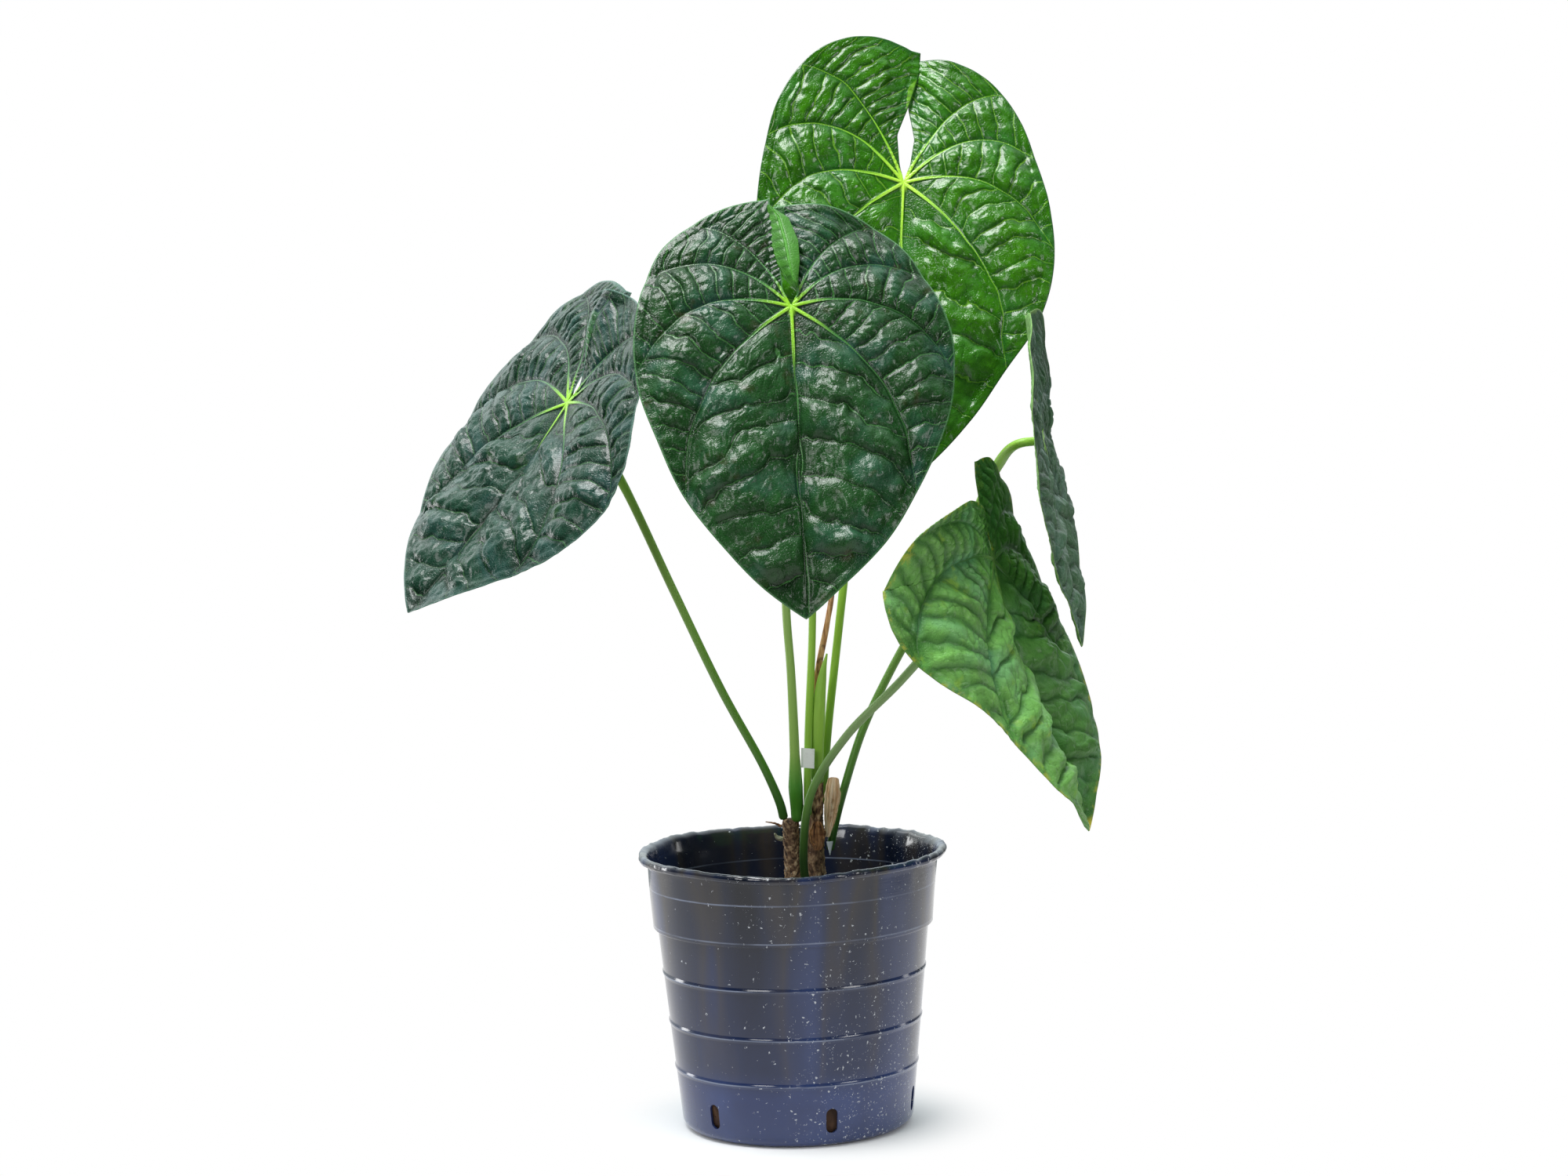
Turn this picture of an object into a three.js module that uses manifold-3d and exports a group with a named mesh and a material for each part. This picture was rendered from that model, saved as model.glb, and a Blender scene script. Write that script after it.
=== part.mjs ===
// Potted anthurium: a nursery pot, its potting mix and one plant with five velvety heart-shaped leaves.
// Millimetres, +Z up, the pot stands on z = 0 and its axis is the Z axis; +Y points away from the viewer.
import * as THREE from 'three';
import { mergeVertices } from 'three/addons/utils/BufferGeometryUtils.js';
import Module from 'manifold-3d';

const wasm = await Module();
wasm.setup();

// ---- driving dimensions ----
const clearance = 0.3; // gap between neighbouring pieces
const potHeight = 180; // top of the rolled lip
const lipRadius = 100;
const lipDrop = 8; // height of the rolled lip
const lipOverhang = 5.5; // lip past the wall under it
const potWall = 1.5;
const potFloor = 2;
const wallTaper = 12.8; // the foot is narrower than the top of the lower wall by this
const baseRound = 7; // rounded edge between floor and wall
const collarDepth = 47; // the wider collar, down from the top of the lip
const collarInset = 9; // collar narrower than the lip
const collarStep = 2.7; // collar past the lower wall
const ringDrops = [93, 63, 31]; // moulded rings on the lower wall, down from the collar
const ringStand = 0.7;
const ringWidth = 3;
const slotCount = 6;
const slotFirst = 46; // degrees from +X
const slotHeight = 17; // centre of the drain slots
const slotLength = 16;
const slotWidth = 7.5;
const slotCutReach = 15; // a slot is cut this far inside and outside the foot's radius
const mixBelowRim = 50; // top of the mix at the wall, down from the top of the lip
const mixDome = 4; // the mix is higher in the middle
const leafThickness = 2.2;
const petioleRadius = 2.6;
const stemDepth = 22; // how far a stem goes down into the mix

const mixTop = potHeight - mixBelowRim;
const bodyTop = potHeight - collarDepth;
const collarRadius = lipRadius - collarInset;
const bodyTopRadius = collarRadius - collarStep;
const baseRadius = bodyTopRadius - wallTaper;

const degree = Math.PI / 180;
const group = new THREE.Group();

const colours = {
  pot: { color: 0x14171f, roughness: 0.3, metalness: 0 },
  mix: { color: 0x3d2a1c, roughness: 1, metalness: 0 },
  bark: { color: 0x5a4632, roughness: 0.9, metalness: 0 },
  velvet: { color: 0x35564c, roughness: 0.6, metalness: 0 },
  fresh: { color: 0x2f7a24, roughness: 0.35, metalness: 0 },
  dull: { color: 0x4c7a3f, roughness: 0.55, metalness: 0 },
  stalk: { color: 0x6f9350, roughness: 0.5, metalness: 0 },
  dry: { color: 0x8a6a4a, roughness: 0.9, metalness: 0 },
  papery: { color: 0xd9b78a, roughness: 0.9, metalness: 0 },
  label: { color: 0xf2f2ee, roughness: 0.5, metalness: 0 },
  spadix: { color: 0xa9b26a, roughness: 0.7, metalness: 0 },
};

// everything that grows is placed from the top of the mix at the pot wall
const plant = new THREE.Group();
plant.position.z = mixTop;
group.add(plant);

function addPiece(name, geometry, look, holder = plant) {
  const mesh = new THREE.Mesh(geometry, new THREE.MeshStandardMaterial(colours[look]));
  mesh.name = name;
  holder.add(mesh);
  return mesh;
}

// ---- solids that are cut ----
function toSolid(geometry) {
  const bare = geometry.clone();
  bare.deleteAttribute('normal');
  bare.deleteAttribute('uv');
  const merged = mergeVertices(bare, 1e-4);
  return new wasm.Manifold(new wasm.Mesh({
    numProp: 3,
    vertProperties: new Float32Array(merged.attributes.position.array),
    triVerts: new Uint32Array(merged.index.array),
  }));
}

function toGeometry(solid) {
  const mesh = solid.getMesh();
  const geometry = new THREE.BufferGeometry();
  geometry.setAttribute('position', new THREE.BufferAttribute(mesh.vertProperties, 3));
  geometry.setIndex(new THREE.BufferAttribute(mesh.triVerts, 1));
  geometry.computeVertexNormals();
  return geometry;
}

// a profile in the radius-height plane, turned about Z
function turned(profile, segments) {
  const geometry = new THREE.LatheGeometry(profile, segments);
  geometry.rotateX(Math.PI / 2);
  return geometry;
}

// ---- pot ----
const neckRadius = lipRadius - lipOverhang; // wall just under the lip
const lipBottom = potHeight - lipDrop;

// outer radius of the lower wall at a height
function wallRadius(z) {
  return baseRadius + ((bodyTopRadius - baseRadius) * (z - baseRound)) / (bodyTop - baseRound);
}

function arcPoints(centreX, centreZ, radius, from, to, count) {
  const points = [];
  for (let i = 0; i <= count; i += 1) {
    const angle = (from + ((to - from) * i) / count) * degree;
    points.push(new THREE.Vector2(centreX + radius * Math.cos(angle), centreZ + radius * Math.sin(angle)));
  }
  return points;
}

function potProfile() {
  const points = [new THREE.Vector2(0, 0)];
  points.push(...arcPoints(baseRadius - baseRound, baseRound, baseRound, -90, 0, 4));
  ringDrops.forEach((drop) => {
    const z = bodyTop - drop;
    points.push(new THREE.Vector2(wallRadius(z - ringWidth / 2), z - ringWidth / 2));
    points.push(new THREE.Vector2(wallRadius(z) + ringStand, z));
    points.push(new THREE.Vector2(wallRadius(z + ringWidth / 2), z + ringWidth / 2));
  });
  points.push(new THREE.Vector2(bodyTopRadius, bodyTop - collarStep / 2));
  points.push(new THREE.Vector2(collarRadius, bodyTop));
  points.push(new THREE.Vector2(neckRadius, lipBottom));
  const lipRound = lipDrop / 2;
  points.push(...arcPoints(lipRadius - lipRound, potHeight - lipRound, lipRound, -90, 90, 5));
  points.push(new THREE.Vector2(neckRadius, potHeight - 1));
  points.push(new THREE.Vector2(neckRadius - potWall, lipBottom));
  points.push(new THREE.Vector2(collarRadius - potWall, bodyTop));
  points.push(new THREE.Vector2(bodyTopRadius - potWall, bodyTop - collarStep / 2));
  points.push(new THREE.Vector2(baseRadius - potWall, baseRound));
  points.push(new THREE.Vector2(baseRadius - potWall - baseRound + potFloor, potFloor));
  points.push(new THREE.Vector2(0, potFloor));
  return points;
}

// an upright, round-ended slot that runs out through the wall along one direction
function slotCutter(angle) {
  const half = slotLength / 2 - slotWidth / 2;
  const shape = new THREE.Shape();
  shape.absarc(0, half, slotWidth / 2, 0, Math.PI, false);
  shape.absarc(0, -half, slotWidth / 2, Math.PI, 2 * Math.PI, false);
  const depth = 2 * slotCutReach;
  const cutter = new THREE.ExtrudeGeometry(shape, { depth, bevelEnabled: false, curveSegments: 5 });
  cutter.rotateX(Math.PI / 2);
  cutter.translate(0, baseRadius + slotCutReach, slotHeight);
  cutter.rotateZ((angle - 90) * degree);
  return cutter;
}

function makePot() {
  let solid = toSolid(turned(potProfile(), 60));
  for (let i = 0; i < slotCount; i += 1) {
    solid = solid.subtract(toSolid(slotCutter(slotFirst + (i * 360) / slotCount)));
  }
  addPiece('pot', toGeometry(solid), 'pot', group);
}

// ---- tubes along a curve, with a radius that changes ----
// radiusAt and flatAt take 0 at the start and 1 at the end; flatAt narrows the section across its width
function tube(points, radiusAt, { sides = 8, steps = 20, flat = 1 } = {}) {
  const curve = new THREE.CatmullRomCurve3(points.map((p) => new THREE.Vector3(...p)), false, 'centripetal');
  const shape = new THREE.Shape();
  for (let i = 0; i < sides; i += 1) {
    const angle = (i * 2 * Math.PI) / sides;
    if (i === 0) shape.moveTo(Math.cos(angle), Math.sin(angle));
    else shape.lineTo(Math.cos(angle), Math.sin(angle));
  }
  shape.closePath();
  const straight = new THREE.ExtrudeGeometry(shape, { depth: 1, steps, bevelEnabled: false });
  const place = straight.attributes.position;
  const side = new THREE.Vector3();
  const front = new THREE.Vector3();
  for (let i = 0; i < place.count; i += 1) {
    const t = THREE.MathUtils.clamp(place.getZ(i), 0, 1);
    const along = curve.getTangentAt(t);
    // every section's width stays level with X, so the tube doesn't twist
    front.crossVectors(along, new THREE.Vector3(1, 0, 0)).normalize();
    side.crossVectors(front, along).normalize();
    const radius = radiusAt(t);
    const point = curve.getPointAt(t);
    point.addScaledVector(side, place.getX(i) * radius);
    point.addScaledVector(front, place.getY(i) * radius * flat);
    place.setXYZ(i, point.x, point.y, point.z);
  }
  straight.computeVertexNormals();
  return straight;
}

// a value that follows a few evenly spaced stops
function alongStops(stops) {
  return (t) => {
    const position = t * (stops.length - 1);
    const low = Math.min(Math.floor(position), stops.length - 2);
    return THREE.MathUtils.lerp(stops[low], stops[low + 1], position - low);
  };
}

// ---- stems and mix ----
const stems = {
  stem_left: {
    radius: 5.5,
    route: [[0, 0, -stemDepth], [0, 0, mixDome + 2], [0.5, 0, 35], [0, 0, 68]],
    stops: [1, 1, 1.05, 0.95, 1.0],
  },
  stem_right: {
    radius: 6.5,
    route: [[15.5, 2, -stemDepth], [15.5, 2, mixDome + 2], [15.5, 2, 40], [16, 2, 66], [18, 2, 92]],
    stops: [1, 1, 1.05, 1, 0.85, 0.66],
  },
};

function makeStems() {
  Object.entries(stems).forEach(([name, stem]) => {
    const radiusAt = alongStops(stem.stops.map((share) => share * stem.radius));
    addPiece(name, tube(stem.route, radiusAt, { sides: 12, steps: 12 }), 'bark');
  });
}

function makeMix() {
  const inner = (z) => wallRadius(z) - potWall - clearance;
  const profile = [
    new THREE.Vector2(0, potFloor + clearance),
    new THREE.Vector2(baseRadius - potWall - baseRound, potFloor + clearance),
    new THREE.Vector2(inner(baseRound) - clearance, baseRound + 1),
    new THREE.Vector2(inner(mixTop) - clearance, mixTop - mixDome),
    new THREE.Vector2(inner(mixTop) * 0.5, mixTop + mixDome * 0.5),
    new THREE.Vector2(0, mixTop + mixDome),
  ];
  let solid = toSolid(turned(profile, 40));
  Object.values(stems).forEach((stem) => {
    const [x, y, z] = stem.route[0];
    const hole = stem.radius * 1.05 + clearance;
    const socket = new THREE.CylinderGeometry(hole, hole, 2 * stemDepth, 12);
    socket.rotateX(Math.PI / 2);
    socket.translate(x, y, mixTop + z - clearance + stemDepth);
    solid = solid.subtract(toSolid(socket));
  });
  addPiece('potting_mix', toGeometry(solid), 'mix', group);
}

// ---- leaf blades ----
// Each half blade is given by its reach from the stalk joint in these directions, 0 being the tip.
const reachAngles = [0, 8, 18, 30, 45, 62, 80, 100, 120, 140, 158, 172];
const lobeEnd = 176; // direction of the edges that face each other behind the joint
const blade = { length: 205, back: 88, half: 98 }; // sizes over which a blade bends, folds and curls

// heading and tilt aim the midrib, roll turns the blade about it. Side A is to the right of the midrib
// seen from above with the tip ahead, side B to the left. Folds and curls are degrees, lifts positive.
const leaves = {
  front: {
    at: [9, -88, 399], heading: -86, tilt: -64, roll: -1, look: 'velvet',
    bend: 16, backBend: 8, twist: 2,
    sideA: { fold: 8, curl: -20, lobeFold: -8, tipFold: -2,
      reach: [198, 181, 160, 141, 121, 109, 99, 92, 89, 83, 79, 77] },
    sideB: { fold: 7, curl: -22, lobeFold: -10, tipFold: 0,
      reach: [198, 179, 161, 141, 124, 112, 101, 90, 85, 80, 76, 73] },
  },
  back: {
    at: [87, 86, 481], heading: -104, tilt: -71, roll: -12, look: 'fresh',
    bend: 18, backBend: 2, twist: 2,
    sideA: { fold: 17, curl: -17, lobeFold: 2, tipFold: 0,
      reach: [212, 190, 167, 146, 127, 110, 99, 96, 101, 107, 104, 96] },
    sideB: { fold: 12, curl: -20, lobeFold: -5, tipFold: 0,
      reach: [212, 191, 168, 146, 132, 116, 100, 90, 89, 92, 92, 90] },
  },
  left: {
    at: [-135, -5, 342], heading: -171, tilt: -56, roll: -17, look: 'velvet',
    bend: -14, backBend: -3, twist: -8,
    sideA: { fold: 14, curl: -18, lobeFold: -2, tipFold: 2,
      reach: [169, 156, 142, 130, 120, 114, 112, 106, 101, 95, 89, 82] },
    sideB: { fold: 5, curl: -21, lobeFold: 4, tipFold: -7,
      reach: [169, 154, 140, 129, 125, 118, 107, 92, 87, 85, 80, 76] },
  },
  lower_right: {
    at: [130, -70, 239], heading: -10, tilt: -79, roll: -2, look: 'dull',
    bend: -17, backBend: -9, twist: 3,
    sideA: { fold: -6, curl: -45, lobeFold: 25, tipFold: 21,
      reach: [181, 172, 156, 126, 111, 109, 112, 104, 76, 66, 66, 63] },
    sideB: { fold: 19, curl: -22, lobeFold: -2, tipFold: 19,
      reach: [181, 162, 148, 136, 117, 105, 100, 92, 82, 75, 70, 60] },
  },
  far_right: {
    at: [166, -30, 311], heading: -6, tilt: -82, roll: 1, look: 'velvet',
    bend: -6, backBend: -3, twist: 9,
    sideA: { fold: 2, curl: -8, lobeFold: 2, tipFold: 2,
      reach: [134, 125, 114, 106, 101, 93, 85, 81, 82, 84, 85, 80] },
    sideB: { fold: 3, curl: -5, lobeFold: 14, tipFold: 5,
      reach: [134, 122, 111, 102, 97, 93, 86, 81, 82, 86, 88, 81] },
  },
};

// smooth reach between the listed directions (cubic with slopes from the neighbours)
function reachAt(reach, angle) {
  const last = reachAngles.length - 1;
  if (angle >= reachAngles[last]) return reach[last];
  const slope = (i) => {
    const a = Math.max(i - 1, 0);
    const b = Math.min(i + 1, last);
    return (reach[b] - reach[a]) / (reachAngles[b] - reachAngles[a]);
  };
  const i = reachAngles.findIndex((limit) => limit > angle) - 1;
  const gap = reachAngles[i + 1] - reachAngles[i];
  const t = (angle - reachAngles[i]) / gap;
  return (2 * t ** 3 - 3 * t ** 2 + 1) * reach[i] + (t ** 3 - 2 * t ** 2 + t) * gap * slope(i)
    + (3 * t ** 2 - 2 * t ** 3) * reach[i + 1] + (t ** 3 - t ** 2) * gap * slope(i + 1);
}

// a section that starts at a slope and turns evenly over its length: [along, up]
function evenTurn(start, turn, t, length) {
  const c = Math.abs(turn) < 1e-4 ? 1e-4 : turn;
  return [(length / c) * (Math.sin(start + c * t) - Math.sin(start)),
    (-length / c) * (Math.cos(start + c * t) - Math.cos(start))];
}

// flat blade point (x along the midrib, y across) to its place on the bent, folded and curled blade
function bladePoint(leaf, x, y) {
  const side = y < 0 ? leaf.sideA : leaf.sideB;
  const back = THREE.MathUtils.clamp(-x / blade.back, 0, 1);
  const ahead = THREE.MathUtils.clamp(x / blade.length, 0, 1);
  const fold = (side.fold + side.lobeFold * back + side.tipFold * ahead) * degree;
  const [across, lift] = evenTurn(fold, side.curl * degree, Math.abs(y) / blade.half, blade.half);
  const twist = (leaf.twist * degree * x) / blade.length;
  const lateral = Math.sign(y) * across * Math.cos(twist) - lift * Math.sin(twist);
  const raised = Math.sign(y) * across * Math.sin(twist) + lift * Math.cos(twist);
  const bend = (x >= 0 ? leaf.bend : leaf.backBend) * degree;
  const span = x >= 0 ? blade.length : blade.back;
  const direction = x >= 0 ? 1 : -1;
  const [along, drop] = evenTurn(0, -bend, Math.abs(x) / span, span);
  const slope = ((-bend * Math.abs(x)) / span) * direction;
  const forward = direction * along - raised * Math.sin(slope);
  return new THREE.Vector3(forward, lateral, drop + raised * Math.cos(slope));
}

function bladeNormal(leaf, x, y) {
  const e = 0.5;
  const ahead = bladePoint(leaf, x + e, y).sub(bladePoint(leaf, x - e, y));
  const across = bladePoint(leaf, x, y + e).sub(bladePoint(leaf, x, y - e));
  return ahead.cross(across).normalize();
}

// a closed thin blade: fans of rows from the joint to the edge, above and below, with an edge all round
function bladeGeometry(leaf, columns = 20, rows = 7) {
  const flat = [];
  for (let i = -columns; i <= columns; i += 1) {
    const share = Math.abs(i) / columns;
    const angle = lobeEnd * share ** 1.15;
    const side = i < 0 ? leaf.sideA : leaf.sideB;
    const reach = reachAt(side.reach, angle);
    for (let k = 1; k <= rows; k += 1) {
      const r = (reach * k) / rows;
      flat.push([r * Math.cos(angle * degree), Math.sign(i) * r * Math.sin(angle * degree)]);
    }
  }
  flat.push([0, 0]);
  const positions = [];
  [1, -1].forEach((face) => {
    flat.forEach(([x, y]) => {
      const out = bladeNormal(leaf, x, y).multiplyScalar((face * leafThickness) / 2);
      const point = bladePoint(leaf, x, y).add(out);
      positions.push(point.x, point.y, point.z);
    });
  });
  const perFace = flat.length;
  const joint = perFace - 1;
  const at = (column, row) => column * rows + row;
  const faces = [];
  const both = (a, b, c) => faces.push(a, b, c, a + perFace, c + perFace, b + perFace);
  const wall = (a, b) => faces.push(a, a + perFace, b, b, a + perFace, b + perFace);
  for (let i = 0; i < 2 * columns; i += 1) {
    both(joint, at(i, 0), at(i + 1, 0));
    for (let k = 0; k < rows - 1; k += 1) {
      both(at(i, k), at(i, k + 1), at(i + 1, k + 1));
      both(at(i, k), at(i + 1, k + 1), at(i + 1, k));
    }
    wall(at(i, rows - 1), at(i + 1, rows - 1));
  }
  const first = [joint, ...Array.from({ length: rows }, (_, k) => at(0, k))];
  const last = [joint, ...Array.from({ length: rows }, (_, k) => at(2 * columns, k))];
  for (let k = 0; k < rows; k += 1) {
    wall(first[k], first[k + 1]);
    wall(last[k + 1], last[k]);
  }
  const geometry = new THREE.BufferGeometry();
  geometry.setAttribute('position', new THREE.Float32BufferAttribute(positions, 3));
  geometry.setIndex(faces);
  geometry.computeVertexNormals();
  return geometry;
}

// the blade's own axes in the room: midrib, across (towards side B) and up out of the upper face
function bladeAxes(leaf) {
  const heading = leaf.heading * degree;
  const tilt = leaf.tilt * degree;
  const roll = leaf.roll * degree;
  const ahead = new THREE.Vector3(
    Math.cos(heading) * Math.cos(tilt), Math.sin(heading) * Math.cos(tilt), Math.sin(tilt));
  const up = new THREE.Vector3(
    -Math.cos(heading) * Math.sin(tilt), -Math.sin(heading) * Math.sin(tilt), Math.cos(tilt));
  const across = new THREE.Vector3().crossVectors(up, ahead);
  const rolledAcross = across.clone().multiplyScalar(Math.cos(roll)).addScaledVector(up, Math.sin(roll));
  const rolledUp = up.clone().multiplyScalar(Math.cos(roll)).addScaledVector(across, -Math.sin(roll));
  return { ahead, across: rolledAcross, up: rolledUp };
}

function makeLeaves() {
  Object.entries(leaves).forEach(([name, leaf]) => {
    const mesh = addPiece(`leaf_${name}`, bladeGeometry(leaf), leaf.look);
    const axes = bladeAxes(leaf);
    mesh.position.set(...leaf.at);
    mesh.quaternion.setFromRotationMatrix(new THREE.Matrix4().makeBasis(axes.ahead, axes.across, axes.up));
  });
}

// ---- leaf stalks ----
// Each stalk follows these points and then meets its blade from below, through a thicker joint.
const stalkRoutes = {
  front: [[4.6, -3, 69.4], [4.5, -4, 77], [4, -8, 89], [4, -11, 107], [3, -15, 165], [1, -19, 211],
    [4, -32, 296], [8, -50, 365]],
  back: [[22, 10.8, 78], [23, 10, 96], [26, 11, 125], [35, 18, 191], [39, 24, 219], [48, 60, 280],
    [60, 98, 350], [77, 120, 436]],
  left: [[-4.4, 1, 70], [-6.4, -1, 79], [-16, -3, 103], [-42, -4, 154], [-71, -3, 219], [-102, 1, 289],
    [-119, 5, 319]],
  lower_right: [[13, -8.2, 13], [9, -20, 28], [8, -26, 54], [14, -30, 90], [37, -35, 126], [73, -42, 162],
    [98, -52, 192], [113, -62, 218]],
  far_right: [[25.4, 4, 48], [29, 5, 64], [35, 6, 85], [49, 10, 125], [68, 15, 162], [98, 18, 213],
    [125, 12, 263], [139, -4, 294]],
};
const jointLength = 16; // the thicker joint under a blade
const stalkSwell = {
  front: [1.75, 1.15, 1, 1, 1, 1, 1.05, 1.3, 1],
  back: [1.1, 1, 1, 1, 1, 1, 1.05, 1.3, 1],
  left: [1.1, 1, 1, 1, 1, 1, 1.05, 1.3, 1],
  lower_right: [1, 1, 1, 1, 1, 1, 1.05, 1.3, 1],
  far_right: [1, 1, 1, 1, 1, 1, 1.05, 1.35, 1],
};

function makeStalks() {
  Object.entries(stalkRoutes).forEach(([name, route]) => {
    const leaf = leaves[name];
    const under = bladeAxes(leaf).up.negate();
    const joint = new THREE.Vector3(...leaf.at);
    const below = (distance) => joint.clone().addScaledVector(under, distance).toArray();
    const points = [...route, below(jointLength), below(leafThickness / 2 + petioleRadius * 0.5 + clearance)];
    const radiusAt = alongStops(stalkSwell[name].map((share) => share * petioleRadius));
    addPiece(`petiole_${name}`, tube(points, radiusAt, { sides: 8, steps: 26 }), 'stalk');
  });
}

// ---- flower stalk, spathe and spadix ----
const flowerTop = [20, -13, 268];
const spadixLength = 62;
const spadixRadius = 4;
const spatheLength = 58;
const spatheHalfWidth = 11;
const spatheAway = 2.5; // spathe behind the spadix
const flowerStalkRadius = 2.6;

function makeFlower() {
  const route = [[11.4, -7.5, 73], [11.6, -7, 86], [13, -6, 123], [17, -3, 183], [18.5, -3, 220], flowerTop];
  const stalkRadiusAt = alongStops([1, 0.96, 0.96, 0.92, 0.92, 0.85].map((s) => s * flowerStalkRadius));
  addPiece('flower_stalk', tube(route, stalkRadiusAt, { steps: 22 }), 'fresh');
  const [x, y, z] = flowerTop;
  const spadixBase = z + clearance * 2;
  const spadixRoute = [[x, y, spadixBase], [x + 1, y - 1, z + spadixLength / 2],
    [x + 3, y - 3, z + spadixLength]];
  const spadixRadiusAt = alongStops([0.55, 1, 0.95, 0.8, 0.6, 0.2].map((s) => s * spadixRadius));
  addPiece('spadix', tube(spadixRoute, spadixRadiusAt, { steps: 12 }), 'spadix');
  const away = spadixRadius + spatheAway;
  const spatheRoute = [[x - 1, y + away, z - 4], [x - 3, y + away + 5, z + spatheLength * 0.4],
    [x - 6, y + away + 16, z + spatheLength * 0.8]];
  const spatheWidthAt = alongStops([0.25, 0.9, 1, 0.75, 0.4, 0.08].map((s) => s * spatheHalfWidth));
  addPiece('spathe', tube(spatheRoute, spatheWidthAt, { steps: 12, flat: 0.12 }), 'fresh');
}

// ---- dry and young pieces round the stems, tag ----
const trim = {
  dry_stalk: {
    radius: 1.9, look: 'dry', options: { steps: 18 },
    route: [[15.2, 6.4, 95], [16, 5.6, 120], [18.5, 4.5, 153], [27, 4.5, 193], [31, 4, 214], [33, 3, 242]],
    stops: [1, 1, 1.05, 1, 0.85, 0.37],
  },
  new_leaf_sheath: {
    radius: 4.8, look: 'fresh', options: { steps: 14, flat: 0.6 },
    route: [[18.5, -0.5, 93], [18, -1.8, 108], [20, -3, 140], [24, -3.4, 166], [26.5, -3, 176]],
    stops: [0.8, 0.95, 1, 0.9, 0.6, 0.12],
  },
  dry_sheath_tall: {
    radius: 5, look: 'papery', options: { steps: 10, flat: 0.16 },
    route: [[23.6, -7.4, 58], [25.4, -7.6, 68], [27.4, -8, 82], [28.6, -9, 95]],
    stops: [0.25, 0.6, 0.9, 1, 0.5],
  },
  dry_sheath_short: {
    radius: 5.4, look: 'dry', options: { steps: 8, flat: 0.16 },
    route: [[17.5, -9, 50], [17.2, -9.6, 58], [17.4, -10.4, 67]],
    stops: [0.4, 0.8, 1, 0.4],
  },
  aerial_root_stub: {
    radius: 1.6, look: 'papery', options: { steps: 6 },
    route: [[-5.9, -1.5, 56], [-8.4, -3, 57], [-10.4, -5, 60]],
    stops: [1, 0.94, 0.69, 0.31],
  },
  aerial_root_thin: {
    radius: 0.9, look: 'dry', options: { sides: 6, steps: 8 },
    route: [[-6.4, -0.5, 64.4], [-10, -3, 66.5], [-16, -5, 68]],
    stops: [1, 0.89, 0.67, 0.44],
  },
};
const cardThickness = 0.6;
const tag = { width: 8, height: 13, at: [12.4, -9.8, 109.5], lean: 7 };
const tail = { halfWidth: 2.2, halfLength: 4.5, at: [25, -13.5, 51] };

function makeTrim() {
  Object.entries(trim).forEach(([name, piece]) => {
    const radiusAt = alongStops(piece.stops.map((share) => share * piece.radius));
    addPiece(name, tube(piece.route, radiusAt, piece.options), piece.look);
  });
  const card = addPiece('plant_tag', new THREE.BoxGeometry(tag.width, cardThickness, tag.height), 'label');
  card.position.set(...tag.at);
  card.rotation.y = tag.lean * degree;
  const outline = new THREE.Shape([new THREE.Vector2(-tail.halfWidth, tail.halfLength),
    new THREE.Vector2(0, -tail.halfLength), new THREE.Vector2(tail.halfWidth, tail.halfLength)]);
  const strip = new THREE.ExtrudeGeometry(outline, { depth: cardThickness, bevelEnabled: false });
  strip.rotateX(Math.PI / 2);
  addPiece('tag_tail', strip, 'label').position.set(...tail.at);
}

makePot();
makeMix();
makeStems();
makeLeaves();
makeStalks();
makeFlower();
makeTrim();

export default group;
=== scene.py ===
import math
import bpy
import numpy as np
from mathutils import Matrix, Vector


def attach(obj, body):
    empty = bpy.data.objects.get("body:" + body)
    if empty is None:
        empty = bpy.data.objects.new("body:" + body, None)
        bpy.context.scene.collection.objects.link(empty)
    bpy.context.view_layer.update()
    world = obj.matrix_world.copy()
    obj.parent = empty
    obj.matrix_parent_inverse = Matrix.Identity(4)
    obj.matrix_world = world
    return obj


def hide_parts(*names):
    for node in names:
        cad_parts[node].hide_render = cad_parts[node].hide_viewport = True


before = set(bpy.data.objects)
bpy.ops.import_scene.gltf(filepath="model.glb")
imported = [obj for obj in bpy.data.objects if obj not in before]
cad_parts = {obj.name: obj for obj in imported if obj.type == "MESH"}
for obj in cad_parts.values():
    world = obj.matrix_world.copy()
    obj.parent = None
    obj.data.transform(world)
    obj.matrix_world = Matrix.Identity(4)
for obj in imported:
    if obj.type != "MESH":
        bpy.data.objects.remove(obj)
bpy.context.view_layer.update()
print("frame loaded")

mm = 0.001  # every size below is in millimetres unless it says otherwise
rng = np.random.default_rng(11)


# small helpers
def smooth(low, high, value):
    # 0 below low, 1 above high, t^2 (3 - 2 t) between them
    t = np.clip((value - low) / (high - low), 0, 1)
    return t * t * (3 - 2 * t)


def stops(values, t):
    # a value that follows evenly spaced stops along 0..1
    return np.interp(t, np.linspace(0, 1, len(values)), values)


def waves(x, y, seed, scale, octaves=3):
    # smooth noise: five sines in random directions per octave, each octave 1.9 times finer and 1.8 times weaker
    pick = np.random.default_rng(seed)
    total = np.zeros_like(np.asarray(x, float))
    for k in range(octaves):
        size = scale / 1.9 ** k
        for _ in range(5):
            angle, phase = pick.uniform(0, 2 * np.pi), pick.uniform(0, 2 * np.pi)
            length = size * pick.uniform(0.7, 1.4)
            total = total + np.sin((x * np.cos(angle) + y * np.sin(angle)) * 2 * np.pi / length + phase) / 1.8 ** k
    return total / 5


def unit(vectors):
    # each vector divided by its length
    return vectors / np.maximum(np.linalg.norm(vectors, axis=-1, keepdims=True), 1e-9)


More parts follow.
